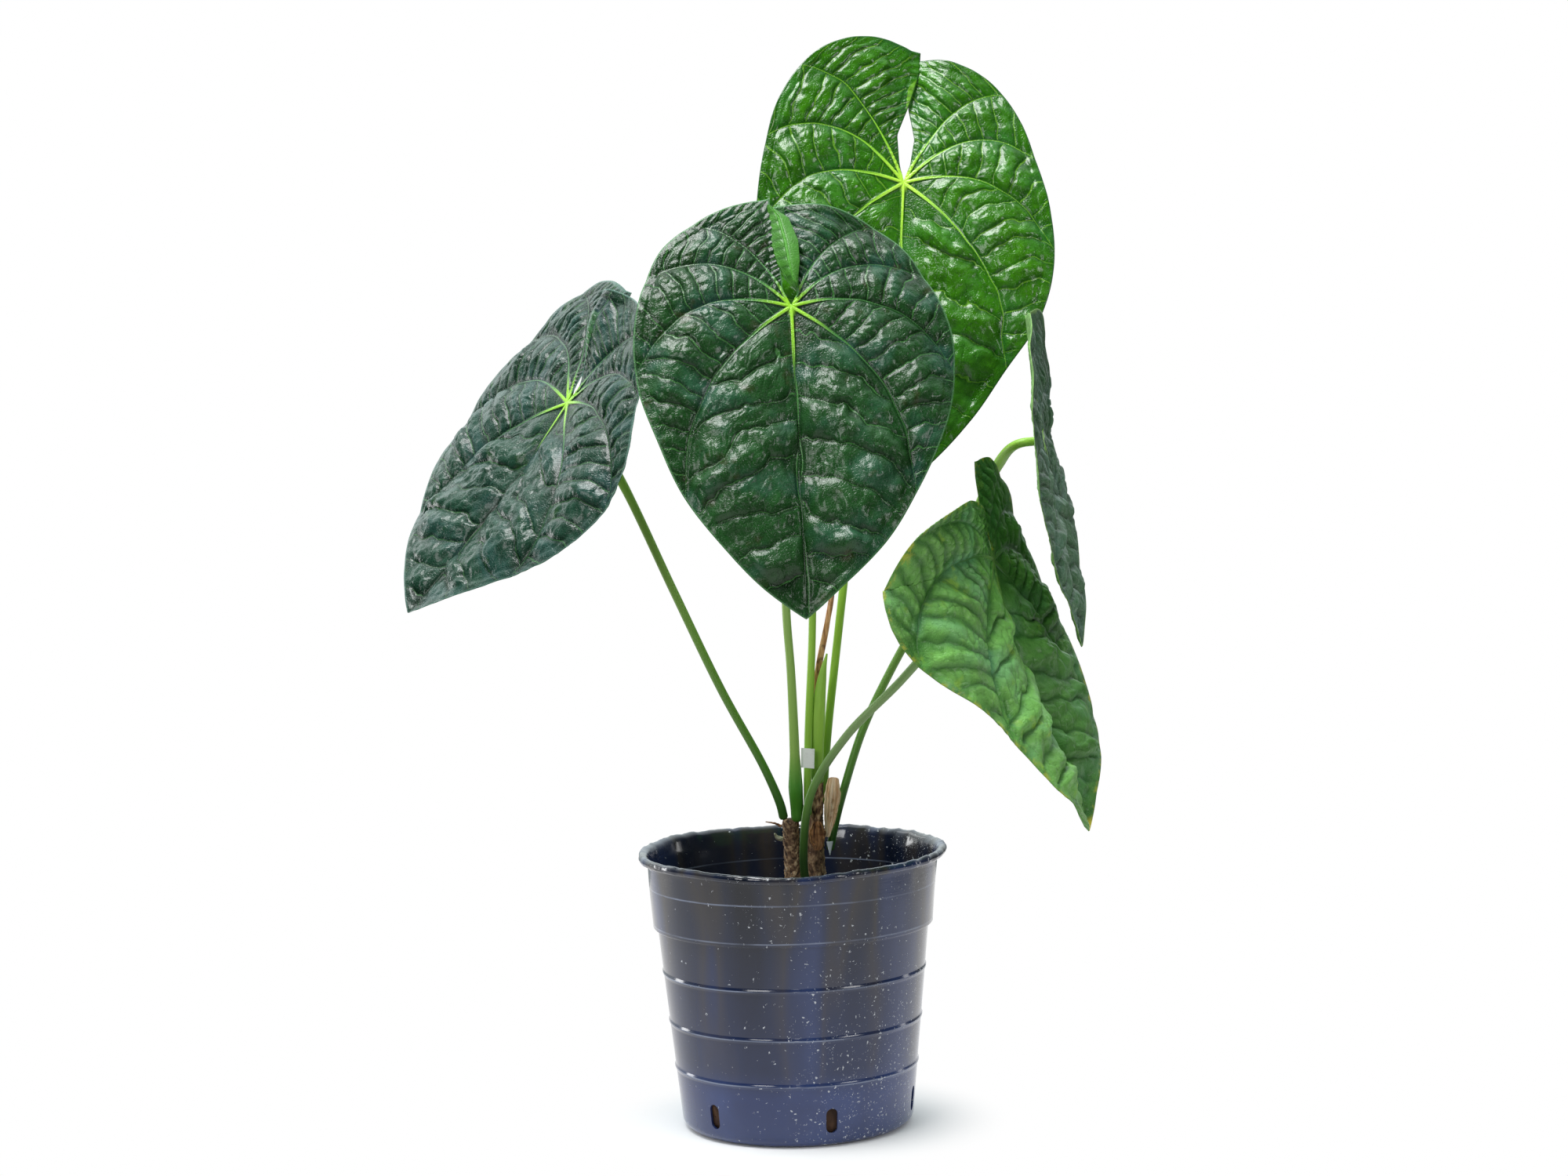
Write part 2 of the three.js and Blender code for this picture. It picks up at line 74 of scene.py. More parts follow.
def cellField(x, y, seed):
    # distance to the nearest and second nearest of one jittered point in every unit square
    repeat = 97
    jitter = np.random.default_rng(seed).uniform(0.12, 0.88, (repeat, repeat, 2))
    cx, cy = np.floor(x).astype(int), np.floor(y).astype(int)
    first, second = np.full(x.shape, 9.0), np.full(x.shape, 9.0)
    for i in (-1, 0, 1):
        for j in (-1, 0, 1):
            point = jitter[(cx + i) % repeat, (cy + j) % repeat]
            d = np.hypot(cx + i + point[..., 0] - x, cy + j + point[..., 1] - y)
            second = np.where(d < first, first, np.minimum(second, d))
            first = np.minimum(first, d)
    return first, second


def newPiece(name, points, faces, material, attributes=None, soft=True):
    mesh = bpy.data.meshes.new(name)
    mesh.from_pydata((np.asarray(points) * mm).tolist(), [], faces)
    for key, values in (attributes or {}).items():
        layer = mesh.attributes.new(key, "FLOAT", "POINT")
        layer.data.foreach_set("value", np.asarray(values, np.float32).ravel())
    if soft:
        mesh.polygons.foreach_set("use_smooth", np.ones(len(mesh.polygons), bool))
    mesh.materials.append(material)
    mesh.update()
    piece = bpy.data.objects.new(name, mesh)
    bpy.context.scene.collection.objects.link(piece)
    return piece


def gridFaces(rows, columns, wrap=False, start=0):
    # quads of a rows x columns grid of points numbered from start; wrap joins the last column to the first
    r = np.arange(rows - 1)[:, None]
    c = np.arange(columns if wrap else columns - 1)[None, :]
    n = (c + 1) % columns
    quads = np.stack([r * columns + c, r * columns + n, (r + 1) * columns + n, (r + 1) * columns + c], -1)
    return (quads.reshape(-1, 4) + start).tolist()


def closedFaces(rows, columns):
    # a wrapped grid and a fan over each open end, round the two points that follow the grid's own
    c = np.arange(columns)
    n = (c + 1) % columns
    tip, last = rows * columns, (rows - 1) * columns
    return (gridFaces(rows, columns, wrap=True) + np.stack([np.full(columns, tip), n, c], -1).tolist()
            + np.stack([np.full(columns, tip + 1), last + c, last + n], -1).tolist())


def slabFaces(rows, columns):
    # a grid, its flipped copy numbered after it, and a wall round the edge between them
    count = rows * columns
    faces = gridFaces(rows, columns)
    faces += [[i + count for i in face[::-1]] for face in faces]
    ids = np.arange(count).reshape(rows, columns)
    ring = np.concatenate([ids[0], ids[1:, -1], ids[-1, -2::-1], ids[-2:0:-1, 0]]).tolist()
    return faces + [[i, i + count, j + count, j] for i, j in zip(ring, ring[1:] + ring[:1])]


def declare(piece, nodes):
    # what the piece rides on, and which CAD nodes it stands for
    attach(piece, "root")
    if nodes:
        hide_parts(*nodes)


# material helpers
class Shader:
    # one node tree, with short calls for the nodes used here; arguments are sockets or plain values
    def __init__(self, name, store=bpy.data.materials, base="Principled BSDF"):
        self.material = store.new(name)
        self.material.use_nodes = True
        self.nodes = self.material.node_tree.nodes
        self.links = self.material.node_tree.links
        self.base = self.nodes[base]
        self.coords = self.nodes.new("ShaderNodeTexCoord")

    def put(self, socket, value):
        if hasattr(value, "is_output"):
            self.links.new(value, socket)
        else:
            socket.default_value = value

    def add(self, kind, inputs=(), out=0, **settings):
        made = self.nodes.new("ShaderNode" + kind)
        for key, value in settings.items():
            setattr(made, key, value)
        for key, value in dict(inputs).items():
            self.put(made.inputs[key], value)
        return made.outputs[out]

    def math(self, operation, a, b=0.0, c=0.0):
        return self.add("Math", {0: a, 1: b, 2: c}, operation=operation)

    def times(self, a, b):
        return self.math("MULTIPLY", a, b)

    def timesPlus(self, a, b, c):
        # a b + c
        return self.math("MULTIPLY_ADD", a, b, c)

    def less(self, a, b):
        # a - b
        return self.math("SUBTRACT", a, b)

    def attribute(self, name):
        return self.add("Attribute", out=2, attribute_name=name)

    def stretched(self, z):
        # object coordinates with the height scaled, so that a pattern runs upright or level
        return self.add("Mapping", {0: self.coords.outputs["Object"], 3: (1, 1, z)})

    def noise(self, scale, detail=4.0, vector=None, out=0):
        place = self.coords.outputs["Object"] if vector is None else vector
        return self.add("TexNoise", {"Vector": place, "Scale": scale, "Detail": detail, "Roughness": 0.55}, out)

    def cells(self, scale, feature="F1", vector=None, out=0):
        place = self.coords.outputs["Object"] if vector is None else vector
        return self.add("TexVoronoi", {"Vector": place, "Scale": scale}, out, feature=feature)

    def ramp(self, value, marks):
        made = self.nodes.new("ShaderNodeValToRGB")
        self.put(made.inputs[0], value)
        while len(made.color_ramp.elements) < len(marks):
            made.color_ramp.elements.new(1.0)
        for element, (at, colour) in zip(made.color_ramp.elements, marks):
            element.position, element.color = at, (*colour, 1)
        return made.outputs[0]

    def span(self, value, low, high, outLow=0.0, outHigh=1.0):
        # outLow up to low, outHigh from high, a smooth step between
        return self.add("MapRange", {0: value, 1: low, 2: high, 3: outLow, 4: outHigh},
                        interpolation_type="SMOOTHSTEP")

    def mix(self, share, a, b):
        # a (1 - share) + b share
        a, b = [(*v, 1) if isinstance(v, tuple) else v for v in (a, b)]
        return self.add("Mix", {0: share, 6: a, 7: b}, out=2, data_type="RGBA")

    def bump(self, height, distance, strength=1.0):
        return self.add("Bump", {"Height": height, "Distance": distance, "Strength": strength})

    def finish(self, **sockets):
        names = {"colour": "Base Color", "roughness": "Roughness", "normal": "Normal", "coat": "Coat Weight",
                 "coatRoughness": "Coat Roughness", "specular": "Specular IOR Level",
                 "through": "Subsurface Weight", "throughScale": "Subsurface Scale",
                 "throughRadius": "Subsurface Radius"}
        for key, value in sockets.items():
            self.put(self.base.inputs[names[key]], value)
        return self.material


# leaf blades
# Each half blade is given by its reach in mm from the stalk joint in these directions, 0 being the tip.
reachAngles = np.array([0, 8, 18, 30, 45, 62, 80, 100, 120, 140, 158, 172.])
blade = {"length": 205.0, "back": 88.0, "half": 98.0, "lobeEnd": 176.0, "thick": 0.7}
# Main veins leave the joint in these directions and lean towards the tip by these amounts at the edge.
veinStart = np.array([0, 54, 102, 136, 155, 180.])
veinLean = np.array([0, 24, 35, 32, 18, 0.])

leaves = {
    "front": {
        "at": (9, -88, 529), "heading": -86, "tilt": -64, "roll": -1, "bend": 16, "backBend": 8, "twist": 2,
        "sideA": {"fold": 8, "curl": -20, "lobeFold": -8, "tipFold": -2,
                  "reach": [198, 181, 160, 141, 121, 109, 99, 92, 89, 83, 79, 77],
                  "inner": [0, 4.5, 5, 6, 8, 9], "crest": (5, 12)},
        "sideB": {"fold": 7, "curl": -22, "lobeFold": -10, "tipFold": 0,
                  "reach": [198, 179, 161, 141, 124, 112, 101, 90, 85, 80, 76, 73],
                  "inner": [0, 5, -4, -8, -10, -11.5], "sink": 2.0},
        "size": 1.0, "arch": 0.10, "ridge": 0.19, "cell": 0.75, "seed": 3, "look": "velvet",
    },
    "back": {
        "at": (87, 86, 611), "heading": -104, "tilt": -71, "roll": -12, "bend": 18, "backBend": 2, "twist": 2,
        "sideA": {"fold": 17, "curl": -17, "lobeFold": 2, "tipFold": 0,
                  "reach": [212, 190, 167, 146, 127, 110, 99, 96, 101, 107, 104, 96],
                  "inner": [0, 3.5, 6, -2, -8, -8]},
        "sideB": {"fold": 12, "curl": -20, "lobeFold": -5, "tipFold": 0,
                  "reach": [212, 191, 168, 146, 132, 116, 100, 90, 89, 92, 92, 90],
                  "inner": [0, 4, 6, 1, 1, 0], "sink": 5.0},
        "size": 1.05, "arch": 0.085, "ridge": 0.19, "cell": 0.6, "seed": 8, "look": "fresh",
    },
    "left": {
        "at": (-135, -5, 472), "heading": -171, "tilt": -56, "roll": -17, "bend": -14, "backBend": -3, "twist": -8,
        "sideA": {"fold": 14, "curl": -18, "lobeFold": -2, "tipFold": 2,
                  "reach": [169, 156, 142, 130, 120, 114, 112, 106, 101, 95, 89, 82],
                  "inner": [0, 3, 4, 3, 2, 2]},
        "sideB": {"fold": 5, "curl": -21, "lobeFold": 4, "tipFold": -7,
                  "reach": [169, 154, 140, 129, 125, 118, 107, 92, 87, 85, 80, 76],
                  "inner": [0, 2.5, 0, -5, -9, -10], "crest": (17, 17)},
        "size": 0.9, "arch": 0.12, "ridge": 0.22, "cell": 0.8, "seed": 21, "look": "shade",
    },
    "lower_right": {
        "at": (130, -70, 369), "heading": -10, "tilt": -79, "roll": -2, "bend": -17, "backBend": -9, "twist": 3,
        "sideA": {"fold": -6, "curl": -45, "lobeFold": 25, "tipFold": 21,
                  "reach": [181, 172, 156, 129, 117, 119, 122, 107, 74, 46, 32, 24],
                  "inner": [0, 1, 0, -2, -3, -2]},
        "sideB": {"fold": 19, "curl": -22, "lobeFold": -2, "tipFold": 19,
                  "reach": [181, 162, 148, 136, 117, 105, 98, 88, 76, 68, 66, 62],
                  "inner": [0, 1, 0, -3, -4, -3]},
        "size": 0.85, "arch": 0.13, "ridge": 0.30, "cell": 1.2, "seed": 34, "look": "aging",
    },
    "far_right": {
        "at": (166, -30, 441), "heading": -6, "tilt": -82, "roll": 1, "bend": -6, "backBend": -3, "twist": 9,
        "sideA": {"fold": 2, "curl": -8, "lobeFold": 2, "tipFold": 2,
                  "reach": [134, 125, 114, 106, 101, 93, 85, 81, 82, 84, 85, 80],
                  "inner": [0, 3, 4, 3, 2, 2]},
        "sideB": {"fold": 3, "curl": -5, "lobeFold": 14, "tipFold": 5,
                  "reach": [134, 122, 111, 102, 97, 93, 86, 81, 82, 86, 88, 81],
                  "inner": [0, 3, 4, 3, 2, 2]},
        "size": 0.72, "arch": 0.09, "ridge": 0.26, "cell": 1.0, "seed": 55, "look": "pale",
    },
}


def reachAt(reach, angle):
    # cubic through the listed reaches, with slopes taken from the neighbours
    reach = np.asarray(reach, float)
    last = len(reach) - 1
    low, high = np.maximum(np.arange(last + 1) - 1, 0), np.minimum(np.arange(last + 1) + 1, last)
    slope = (reach[high] - reach[low]) / (reachAngles[high] - reachAngles[low])
    angle = np.clip(angle, 0, reachAngles[-1])
    i = np.clip(np.searchsorted(reachAngles, angle, side="right") - 1, 0, last - 1)
    gap = reachAngles[i + 1] - reachAngles[i]
    t = (angle - reachAngles[i]) / gap
    return ((2 * t ** 3 - 3 * t ** 2 + 1) * reach[i] + (t ** 3 - 2 * t ** 2 + t) * gap * slope[i]
            + (3 * t ** 2 - 2 * t ** 3) * reach[i + 1] + (t ** 3 - t ** 2) * gap * slope[i + 1])


def evenTurn(start, turn, t, length):
    # a section that starts at a slope and turns evenly over its length: along, up
    c = np.where(np.abs(turn) < 1e-4, 1e-4, turn)
    return length / c * (np.sin(start + c * t) - np.sin(start)), -length / c * (np.cos(start + c * t) - np.cos(start))


def bladePoint(leaf, x, y, half):
    # flat blade point (x along the midrib, y across, half = -1 or 1) to the bent, folded, curled blade
    a, b = leaf["sideA"], leaf["sideB"]
    pick = lambda key: np.where(half < 0, a[key], b[key])
    lift = np.zeros_like(x)
    inward = np.abs(y) * np.where(np.sign(y) == half, 1, -1)  # negative where a lobe crosses the middle
    back = np.clip(-x / blade["back"], 0, 1)
    ahead = np.clip(x / blade["length"], 0, 1)
    for sign, side in ((-1, a), (1, b)):
        if "crest" in side:
            # the inner part of this lobe stands up
            height, width = side["crest"]
            raisedPart = height * smooth(0.08, 0.7, back) * np.exp(-(np.maximum(inward + 6, 0) / width) ** 2)
            lift = lift + np.where(half == sign, raisedPart, 0)
        if "sink" in side:
            # this lobe dips under the other one near the middle
            lift = lift - np.where(half == sign, side["sink"] * smooth(0.25, 0.8, back) * smooth(30, 0, inward), 0)
    fold = np.radians(pick("fold") + pick("lobeFold") * back + pick("tipFold") * ahead)
    across, up = evenTurn(fold, np.radians(pick("curl")), np.abs(inward) / blade["half"], blade["half"])
    across = across * np.sign(inward)
    up = np.where(inward < 0, -up, up) + lift
    twist = np.radians(leaf["twist"]) * x / blade["length"]
    lateral = half * across * np.cos(twist) - up * np.sin(twist)
    raised = half * across * np.sin(twist) + up * np.cos(twist)
    bend = np.radians(np.where(x >= 0, leaf["bend"], leaf["backBend"]))
    span = np.where(x >= 0, blade["length"], blade["back"])
    direction = np.where(x >= 0, 1, -1)
    along, drop = evenTurn(0, -bend, np.abs(x) / span, span)
    slope = -bend * np.abs(x) / span * direction
    return np.stack([direction * along - raised * np.sin(slope), lateral, drop + raised * np.cos(slope)], -1)


def bladeAxes(leaf):
    # midrib, across (towards side B) and up out of the upper face, as rows
    heading, tilt, roll = np.radians([leaf["heading"], leaf["tilt"], leaf["roll"]])
    ahead = np.array([np.cos(heading) * np.cos(tilt), np.sin(heading) * np.cos(tilt), np.sin(tilt)])
    up = np.array([-np.cos(heading) * np.sin(tilt), -np.sin(heading) * np.sin(tilt), np.cos(tilt)])
    across = np.cross(up, ahead)
    return np.stack([ahead, across * np.cos(roll) + up * np.sin(roll), up * np.cos(roll) - across * np.sin(roll)])


def bladeNormal(leaf, x, y, half, probe=0.4):
    # unit cross product of the blade's slopes along x and y, each taken over a short step
    ahead = bladePoint(leaf, x + probe, y, half) - bladePoint(leaf, x - probe, y, half)
    across = bladePoint(leaf, x, y + probe, half) - bladePoint(leaf, x, y - probe, half)
    return unit(np.cross(ahead, across))


# heights and distances in mm; spacing and lean of the side veins go from the midrib's to the last main vein's
veins = {"spacing": [23.0, 11.5, 9.5, 8.0, 7.0], "lean": [0.72, 0.45, 0.36, 0.3, 0.3],
         "cellLong": 5.6, "cellWide": 8.0, "pucker": 1.1, "sideGroove": 0.55, "mainGroove": 0.9,
         "edgeVein": 0.5, "edgeVeinAt": 6.0, "edgeRibs": 0.28, "edgeWave": 0.8}


def bladeRelief(leaf, x, y, half, share, rim):
    # height over the bent blade: an arch between main veins, ridges between side veins and small quilted cells,
    # less grooves along the veins, plus the ribs; each term fades out near the edge, the joint or a vein
    seed, size = leaf["seed"], leaf["size"]
    noiseAt = lambda offset, number, scale: waves(x, y * half + offset * half, seed + number, scale)
    r = np.hypot(x, y)
    angle = np.degrees(np.arctan2(np.abs(y), x))
    angle = np.where(np.sign(y) == half, angle, 360 - angle)
    # the direction at the joint of the vein through each point: start = angle + lean(start) share^2
    start = angle
    for _ in range(9):
        start = angle + np.interp(start, veinStart, veinLean) * share ** 2
    index = np.interp(start, veinStart, np.arange(6)) + 0.04 * noiseAt(300, 0, 70) * smooth(0, 0.3, share)
    k = np.clip(np.floor(index), 0, 4).astype(int)
    u = index - k
    direction = veinStart[None, :] - veinLean[None, :] * share.reshape(-1, 1) ** 2
    low, high = [np.take_along_axis(direction, k.reshape(-1, 1) + i, 1) for i in (0, 1)]
    width = np.maximum(np.radians(high - low).reshape(r.shape) * r, 0.5)
    gap = np.minimum(u, 1 - u) * width  # mm to the nearest main vein
    # side veins leave a main vein and run out towards the edge
    spacing = size * np.array(veins["spacing"])[k]
    lean = np.array(veins["lean"])[k]
    noise = noiseAt(-500, 1, 60)
    noise = noise + 0.35 * noiseAt(700, 2, 21)
    rung = (r - lean * u * width * (0.55 + 0.45 * u)) / spacing + 0.3 * noise + 40 + 0.4 * k + 0.37 * half
    phase = rung - np.floor(rung)
    uneven = 0.6 + 0.35 * np.sin(np.floor(rung) * 2.3 + 2.6 * k + seed) + 0.45 * waves(x, y, seed + 3, 40)
    ridge = np.sin(np.pi * phase) ** 0.75 * uneven
    extra = np.abs(np.sin(2 * np.pi * phase + 1.3 * np.sin(rung * 1.7 + k))) ** 0.6
    ridge = ridge * (1 - 0.22 * smooth(0.4, 0.0, extra) * smooth(0.2, 0.55, u + 0.35 * np.sin(rung * 3 + k)))
    sideGap = np.minimum(phase, 1 - phase) * spacing * 0.9
    # small quilted cells, stretched along the side veins
    first, second = cellField(rung * spacing / veins["cellLong"] + 0.3 * noise,
                              u * width / veins["cellWide"] + 7 * k + 20, seed)
    seam = second - first
    puff = smooth(-0.05, 0.45, seam) * np.clip(0.55 + 0.7 * waves(x, y, seed + 7, 33), 0, 1.2)
    edgeBand = smooth(3.0, 9.0, rim)
    nearJoint = smooth(0.07, 0.3, share)
    lift = leaf["arch"] * width * np.sin(np.pi * np.clip(u, 0, 1)) ** 0.85 * smooth(0.0, 0.25, share)
    lift = lift * (0.35 + 0.65 * smooth(0, 26, rim))
    lift = lift + leaf["ridge"] * spacing * (ridge - 0.5) * edgeBand * nearJoint * smooth(0.3, 8, gap)
    lift = lift + leaf["cell"] * (puff - 0.4) * edgeBand * nearJoint * smooth(0.5, 4, gap) * smooth(0.2, 2.2, sideGap)
    pucker = size * veins["pucker"] * waves(x + 50 * half, y, seed + 9, 26)
    lift = lift + pucker * edgeBand * nearJoint * smooth(1, 9, gap)
    lift = lift - veins["sideGroove"] * np.exp(-(sideGap / 0.8) ** 2) * edgeBand * nearJoint * smooth(0.5, 3, gap)
    lift = lift - veins["mainGroove"] * np.exp(-(gap / 1.6) ** 2) * smooth(0.1, 0.4, share) * edgeBand
    ribHalf = 1.7 - 1.1 * smooth(0, 0.7, share)
    lift = lift + (1.3 - 1.0 * smooth(0.0, 0.5, share)) * np.sqrt(np.clip(1 - (gap / ribHalf) ** 2, 0, 1))
    # a vein runs round inside the edge, and fine ribs cross the band outside it
    edgeVein = np.exp(-((rim - veins["edgeVeinAt"]) / 1.1) ** 2)
    lift = lift - veins["edgeVein"] * edgeVein * smooth(0.2, 0.4, share)
    lift = lift + veins["edgeRibs"] * np.sin(2 * np.pi * rung * 2.0) * smooth(0.3, 1.5, rim) * smooth(8, 5, rim)
    edgeWave = veins["edgeWave"] * waves(x, y + 90 * half, seed + 5, 60)
    lift = lift + edgeWave * smooth(40, 0, rim) * smooth(0.2, 0.6, share)
    fields = {"veinIndex": index * half, "veinWidth": width, "rung": rung, "rungSize": spacing,
              "seam": seam, "rim": rim, "share": share, "height": lift, "flatX": x, "flatY": y}
    return lift, fields


def makeLeaf(name, leaf, material):
    # each half is a polar grid, r = share of the reach at that angle, bent by bladePoint and raised by its relief;
    # the underside is the same grid with every third row, one thickness lower
    columns, rows, every, outlineSteps = 271, 120, 3, 1500
    halves = []
    for half, side in ((-1, leaf["sideA"]), (1, leaf["sideB"])):
        dense = np.linspace(0, blade["lobeEnd"], outlineSteps)
        reach = reachAt(side["reach"], dense)
        ex, ey = reach * np.cos(np.radians(dense)), reach * np.sin(np.radians(dense))
        length = np.r_[0, np.cumsum(np.hypot(np.diff(ex), np.diff(ey)))]
        angle = np.interp(np.linspace(0, length[-1], columns), length, dense)
        edge = reachAt(side["reach"], angle)
        share = (np.arange(rows + 1) / rows)[:, None] ** 0.85
        r = share * edge[None, :]
        # the edges that face each other behind the joint follow the inner offsets, in mm from the middle
        offset = np.interp(share[:, 0], [0, 0.15, 0.35, 0.6, 0.85, 1], side["inner"])
        lastAngle = 180 - np.degrees(np.arcsin(np.clip(offset / np.maximum(r[:, -1], 1e-6), -0.6, 0.6)))
        follow = smooth(105, blade["lobeEnd"], angle)[None, :]
        turned = angle[None, :] + follow * (lastAngle[:, None] - blade["lobeEnd"])
        x = r * np.cos(np.radians(turned))
        y = half * r * np.sin(np.radians(turned))
        # distance to the nearest edge: the outline, or the inner edge of the lobe
        steep = np.gradient(edge, np.maximum(edge, 1) * np.radians(np.maximum(np.gradient(angle), 1e-9)).cumsum())
        slant = 1 / np.sqrt(1 + np.clip(steep, -3, 3) ** 2)
        rim = (edge[None, :] - r) * slant[None, :]
        inner = r * np.radians(np.maximum(lastAngle[:, None] - turned, 0))
        rim = np.minimum(rim, np.where(share > 0.08, inner, 99))
        halves.append((x, y, np.full_like(x, half), np.broadcast_to(share, x.shape), rim))
    x, y, half, share, rim = [np.concatenate([a[:, ::-1], b[:, 1:]], 1) for a, b in zip(*halves)]
    lift, fields = bladeRelief(leaf, x, y, half, np.array(share), rim)
    base = bladePoint(leaf, x, y, half)
    normal = bladeNormal(leaf, x, y, half)
    top = base + normal * lift[..., None]
    thick = blade["thick"] * (0.25 + 0.75 * smooth(0, 2.5, rim))
    # the underside stays below the grooves between the rows that it uses
    lowest = lift.copy()
    for shift in range(1, every + 1):
        lowest[shift:] = np.minimum(lowest[shift:], lift[:-shift])
        lowest[:-shift] = np.minimum(lowest[:-shift], lift[shift:])
    low = base + normal * (lowest - thick)[..., None]
    axes = bladeAxes(leaf)
    place = lambda p: p @ axes + np.array(leaf["at"])
    kept = np.arange(every, rows + 1, every)
    width = x.shape[1]
    middle = width // 2
    joints = [place(top[0, middle]), place(low[0, middle])]
    points = np.concatenate([place(top[1:]).reshape(-1, 3), place(low[kept]).reshape(-1, 3), joints])
    lowerStart = rows * width
    jointTop, jointLow = len(points) - 2, len(points) - 1
    faces = gridFaces(rows, width)
    faces += [q[::-1] for q in gridFaces(len(kept), width, start=lowerStart)]
    c = np.arange(width - 1)
    faces += np.stack([np.full_like(c, jointTop), c + 1, c], -1).tolist()
    faces += np.stack([np.full_like(c, jointLow), lowerStart + c, lowerStart + c + 1], -1).tolist()
    outer, under = (rows - 1) * width + c, lowerStart + (len(kept) - 1) * width + c
    faces += np.stack([outer, outer + 1, under + 1, under], -1).tolist()
    for column, flip in ((0, 1), (width - 1, -1)):
        upperIds = [jointTop] + [i * width + column for i in range(rows)]
        lowerIds = [jointLow] + [lowerStart + i * width + column for i in range(len(kept))]
        for i in range(len(kept)):
            ring = upperIds[i * every:(i + 1) * every + 1] + [lowerIds[i + 1], lowerIds[i]]
            faces.append(ring[::flip])
    faces = [f[::-1] for f in faces]
    attributes = {}
    for key, value in fields.items():
        attributes[key] = np.r_[value[1:].ravel(), value[kept].ravel(), value[0, middle], value[0, middle]]
    attributes["under"] = np.r_[np.zeros(rows * width), np.ones(len(kept) * width), 0, 1]
    declare(newPiece("leaf_blade_" + name, points, faces, material, attributes), ["leaf_" + name])


def makeRoll(name, leaf, roll, material):
    # the sinus edge of a lobe turned up and back over it: a cross-section carried along the fold line,
    # an arc of the given radius and then a flap that ends at the free edge
    half = roll["half"]
    side = leaf["sideA"] if half < 0 else leaf["sideB"]
    rows, columns, arcShare, edgeVeinAt = 110, 46, 0.3, 0.63
    share = np.linspace(roll["from"], 1.0, rows)[:, None]
    v = np.linspace(0, 1, columns)[None, :]
    fold, flap = [np.interp(share, roll["shares"], roll[key]) for key in ("fold", "flap")]
    reach = float(reachAt(side["reach"], blade["lobeEnd"]))
    turn = roll["turn"] * np.minimum(v / arcShare, 1)
    rest = flap * np.clip((v - arcShare) / (1 - arcShare), 0, 1)
    opened = smooth(0, 4, flap)
    radius = roll["radius"] * opened
    a = fold - radius * np.sin(turn) - rest * np.cos(roll["turn"])
    h = radius * (1 - np.cos(turn)) + rest * np.sin(roll["turn"])
    h = h + roll["bow"] * np.sin(np.pi * rest / np.maximum(flap, 1))
    ribs = np.abs(np.sin(share * 34 + 2 * v))
    band = smooth(0.0, 1.0, (v - arcShare) / arcShare) * smooth(0.62, 0.56, v)
    h = h + 0.45 * ribs * band * smooth(2, 8, flap) + roll["lift"] * opened
    h = h - 0.8 * np.exp(-((v - edgeVeinAt) / 0.03) ** 2)
    x = -np.sqrt(np.maximum((share * reach) ** 2 - fold ** 2, 0)) + 0 * v
    sides = np.full_like(a, half)
    top = bladePoint(leaf, x, half * a, sides)
    normal = bladeNormal(leaf, x, half * a, sides)
    top = top + normal * h[..., None]
    at = rows // 2, -8  # a point on the flap that tells which way it faces
    faceOut = unit(np.cross(np.gradient(top, axis=1), np.gradient(top, axis=0)))
    faceOut = faceOut * np.sign((faceOut[at] * normal[at]).sum())
    place = lambda q: q @ bladeAxes(leaf) + np.array(leaf["at"])
    upper, lower = place(top), place(top - faceOut * roll["thick"])
    faces = slabFaces(rows, columns)
    ahead, across = upper[at[0] + 1, at[1]] - upper[at], upper[at[0], at[1] + 1] - upper[at]
    if (np.cross(across, ahead) * (upper[at] - lower[at])).sum() < 0:
        faces = [face[::-1] for face in faces]
    fields = {"veinIndex": np.abs(v - edgeVeinAt) * 22 / 40, "veinWidth": 40, "rung": share * 11 + 0.3 * v,
              "rungSize": 7, "seam": np.where(v < 0.6, 0.05 + 0.4 * ribs, 0.4 + 0.5 * v), "share": 0.3, "height": 0,
              "rim": np.minimum((1 - v) * flap, 30) + 0.2, "flatX": x, "flatY": half * a}
    attributes = {key: np.tile(np.broadcast_to(value, a.shape).ravel(), 2) for key, value in fields.items()}
    attributes["under"] = np.repeat([1.0, 0.0], a.size)
    points = np.concatenate([upper.reshape(-1, 3), lower.reshape(-1, 3)])
    declare(newPiece("leaf_roll_" + name, points, faces, material, attributes), [])


